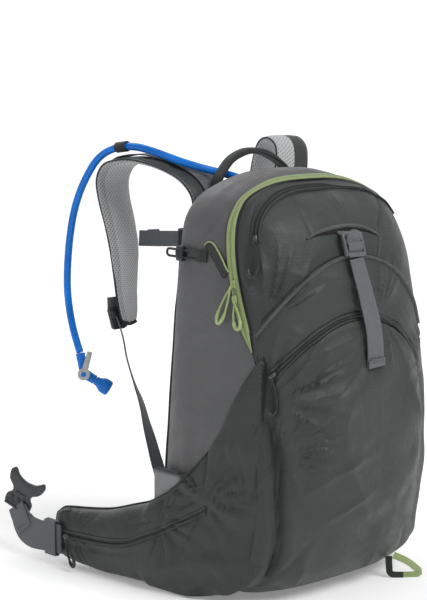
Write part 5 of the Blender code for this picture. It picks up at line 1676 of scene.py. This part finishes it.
SIDE_TAB = ((0.0175, 0.4060), (0.0120, 0.4085), (-0.0010, 0.3970), (-0.0110, 0.3850), (-0.0165, 0.3795))
BUNGEE_ENDS = (np.array((-0.1395, 0.026, BUNGEE_Z)), np.array((-0.1365, 0.082, BUNGEE_Z)))


def front_strap():
    """The buckle on the flap and the webbing that hangs from it."""
    down, off, across = unit((0, -0.30, -0.95)), unit((0, -0.95, 0.30)), np.array((1.0, 0, 0))
    p = Piece("front_buckle")
    ladder_lock(p, FRONT_BUCKLE, down, across, off, 0.033, 0.027, M["buckle"])
    lip = FRONT_BUCKLE + down * 0.0125 + off * 0.0016
    p.block(lip, (across, down, off), (0.0270, 0.0052, 0.0030), M["buckle"], 0.0010)
    root, n = front_points(-0.0125, 0.4240, 0.0008)
    at = placed(FRONT_BUCKLE, down, off)
    web = [root, root + n * 0.004 + down * 0.003,
           at(-0.0110, 0.0036), at(-0.0070, 0.0026), at(0.0010, -0.0012), at(0.0040, -0.0020)]
    fold = [at(-0.0040, -0.0006), at(0, 0.0030), at(0.0055, 0.0020), at(0.0098, -0.0010)]
    for line in (web, fold):
        p.sweep(through(line, 0.0016), strip_profile(0.0235, 0.0018), off, M["web"])
    attach(p.done(), "flap", "front_strap_buckle", slot="plastic")
    tail = through(FRONT_TAIL, 0.003)
    ups = np.array((0, -1, 0.1))
    p = Piece("front_strap_web")
    s = np.linspace(0, 1, len(tail))
    tail[:, 1] -= 0.0008 * np.sin(s * 9) * s
    spread = np.stack([np.interp(s, (0, 1), (0.94, 1.14)), np.ones(len(s))], 1)
    p.sweep(tail, strip_profile(0.0245, 0.0019), ups, M["web"], spread)
    last = int(len(tail) * 0.91)
    p.sweep(tail[last:] + np.array((0, -0.0019, 0.0)), strip_profile(0.0245, 0.0018), ups, M["web"], spread[last:])
    for k in (0.93, 0.97):
        c = tail[int(k * (len(tail) - 1))] + np.array((0, -0.0031, 0))
        p.tube([c - across * 0.0115, c, c + across * 0.0115], 0.00050, M["trim_grey"], sides=6)
    attach(p.done(), "front_strap", "front_strap", slot="webbing")


def loops():
    """The haul loop at the top and the light loop at the base."""
    haul = through(HAUL, 0.003)
    up = np.stack([-np.gradient(haul[:, 2]), 0 * haul[:, 0], np.gradient(haul[:, 0])], 1)
    s = np.linspace(0, 1, len(haul))
    grip = 1 - 0.18 * smooth(0.15, 0.35, s) * smooth(0.85, 0.65, s)
    thick = 1 + 1.7 * smooth(0.12, 0.35, s) * smooth(0.88, 0.65, s)
    p = Piece("haul_loop_web")
    p.sweep(haul, strip_profile(0.0180, 0.0024, 0.0004), up, M["web_dark"], np.stack([grip, thick], 1))
    attach(p.done(), "haul_loop", "haul_loop", slot="webbing")
    p = Piece("haul_loop_anchors")
    for q in (HAUL[0], HAUL[-1]):
        c = np.array(q) + (0, -0.001, -0.0025)
        p.block(c, ((0, 1, 0), (1, 0, 0), (0, 0, 1)), (0.020, 0.0052, 0.0040), M["trim"], 0.0012)
    attach(p.done(), "pack", slot="ripstop_dark")

    loop = through(LIGHT_LOOP, 0.0025)
    p = Piece("light_loop_web")
    facing = unit(loop[:, 3:]) * 0.35 + np.array((-0.675, -0.724, 0.14))
    p.sweep(loop[:, :3], strip_profile(0.0085, 0.0015), facing, M["lime_web"])
    dark = slice(math.ceil(len(loop) * 0.40))  # the side that is backed with dark webbing
    backing = loop[dark, :3] + np.array((-0.675, -0.724, 0)) * 0.0010
    p.sweep(backing, strip_profile(0.0082, 0.0010), facing[dark], M["web_dark"])
    attach(p.done(), "light_loop", "light_loop", slot="lime")


def pole_cord():
    """The tab on the left side, and the cord with its lock that holds poles."""
    route = through([(-float(side_x(y, np.array(z))) - 0.0034, y, z) for y, z in SIDE_TAB], 0.002)
    w = np.interp(np.linspace(0, 1, len(route)), (0, 0.25, 1), (0.012, 0.013, 0.011))
    p = Piece("side_tab")
    p.sweep(route, strip_profile(1.0, 0.0018), (-1, 0, 0.1), M["web_dark"], np.stack([w, np.ones(len(w))], 1))
    to_edge = unit(np.cross(unit(np.gradient(route, axis=0)), (-1, 0, 0.1))) * (w / 2)[:, None]
    upper = to_edge if to_edge[:, 2].mean() > 0 else -to_edge
    p.tube(route + upper, 0.0011, M["lime_cord"], sides=8)
    attach(p.done(), "pack", "side_strap", slot="webbing")

    a, b = BUNGEE_ENDS
    lift = np.array((0, 0, 0.0042))
    bow = [b + lift * math.cos(t) + np.array((0, 0.0042 * math.sin(t), 0)) for t in np.linspace(0, math.pi, 9)]
    near, far = (a * 2 + b) / 3, (a + b * 2) / 3
    p = Piece("pole_cord")
    line = through([a + lift, near + lift, far + lift, *bow, far - lift, near - lift, a - lift], 0.002)
    p.tube(line, 0.0015, M["cord"], sides=10)
    tab = [a + q for q in ((0.001, -0.010, 0), (-0.0012, -0.002, 0), (-0.0012, 0.004, 0))]
    p.sweep(tab, strip_profile(0.0145, 0.0020), (-1, 0, 0), M["web_dark"])
    attach(p.done(), "pack", "pole_bungee", slot="plastic")
    centre, along = a + (b - a) * 0.62, unit(b - a)
    p = Piece("cord_lock_button")
    p.block(centre + along * 0.0062, (along, (0, 0, 1), (1, 0, 0)), (0.0030, 0.0110, 0.0058), M["slate"], 0.0009)
    for dy in (-0.0030, 0.0, 0.0030):
        c = centre + along * dy + (-0.0042, 0, 0)
        p.block(c, ((0, 0, 1), along, (1, 0, 0)), (0.0100, 0.0012, 0.0010), M["plastic"], 0.0004)
    attach(p.done(), "cord_lock", slot="plastic")


# ---------------------------------------------------------------- camera, floor and light


AZIMUTH, ELEVATION, DISTANCE = -43, 8, 2.0  # degrees, degrees and metres from the target
TARGET = (-0.069, 0.079, 0.335)
LENS, SENSOR = 100, 36  # millimetres
FLOOR, FLOOR_Z = 30, -0.0005  # half the floor's side, and its height


def studio():
    """A pale floor and wall with soft light, seen from the front left."""
    scene = bpy.context.scene
    az, el = math.radians(AZIMUTH), math.radians(ELEVATION)
    back = Vector((math.sin(az) * math.cos(el), -math.cos(az) * math.cos(el), math.sin(el)))
    data = bpy.data.cameras.new("camera")
    data.lens, data.sensor_width = LENS, SENSOR
    camera = bpy.data.objects.new("camera", data)
    camera.location = Vector(TARGET) + back * DISTANCE
    camera.rotation_euler = (-back).to_track_quat("-Z", "Y").to_euler()
    scene.collection.objects.link(camera)
    scene.camera = camera
    floor = bpy.data.meshes.new("floor")
    corners = [(x * FLOOR, y * FLOOR, FLOOR_Z) for x, y in ((-1, -1), (1, -1), (1, 1), (-1, 1))]
    floor.from_pydata(corners, [], [(0, 1, 2, 3)])
    look = Look("floor_pale", (0.93, 0.93, 0.93), 0.9, uv=False, specular=0.1)
    look.shader.inputs["Emission Color"].default_value = (1, 1, 1, 1)
    look.shader.inputs["Emission Strength"].default_value = 0.20
    floor.materials.append(look.m)
    plane = bpy.data.objects.new("floor", floor)
    scene.collection.objects.link(plane)
    world = bpy.data.worlds.new("studio")
    world.use_nodes = True
    # a white wall behind the pack, with a dimmer room on the other side
    nodes, links = world.node_tree.nodes, world.node_tree.links
    nodes["Background"].inputs["Color"].default_value = (1, 1, 1, 1)
    towards = nodes.new("ShaderNodeVectorMath")
    towards.operation = "DOT_PRODUCT"
    towards.inputs[1].default_value = (-back.x, -back.y, 0)
    links.new(nodes.new("ShaderNodeTexCoord").outputs["Generated"], towards.inputs[0])
    level = nodes.new("ShaderNodeMapRange")
    for key, value in (("From Min", 0.30), ("From Max", 0.80), ("To Min", 0.36), ("To Max", 1.02)):
        level.inputs[key].default_value = value
    links.new(towards.outputs["Value"], level.inputs["Value"])
    links.new(level.outputs["Result"], nodes["Background"].inputs["Strength"])
    scene.world = world
    scene.view_settings.view_transform = "Standard"

    def area(name, place, size, power):
        light = bpy.data.lights.new(name, "AREA")
        light.shape, light.size, light.energy = "SQUARE", size, power
        obj = bpy.data.objects.new(name, light)
        obj.location = place
        obj.rotation_euler = (Vector((0, 0.02, 0.25)) - Vector(place)).to_track_quat("-Z", "Y").to_euler()
        scene.collection.objects.link(obj)

    sun = bpy.data.lights.new("key", "SUN")
    sun.energy, sun.angle = 1.95, math.radians(35)
    key = bpy.data.objects.new("key", sun)
    key.rotation_euler = Vector((0.12, -0.80, 0.95)).to_track_quat("Z", "Y").to_euler()
    scene.collection.objects.link(key)
    area("side", (-2.4, 0.2, 1.9), 1.2, 5)
    area("rim", (0.4, 2.2, 1.8), 1.4, 10)


studio()
drinking_tube()
tube_fittings()
reservoir()
front_fabric()
gusset()
main_zip()
base_panel()
back_panel()
back_pads()
pockets()
strap_slit()
zippers()
for wing_side, wing_name in ((-1, "left"), (1, "right")):
    wing(wing_side, wing_name)
    side_pocket(wing_name)
    belt(wing_side, wing_name)
harness()
front_strap()
loops()
pole_cord()
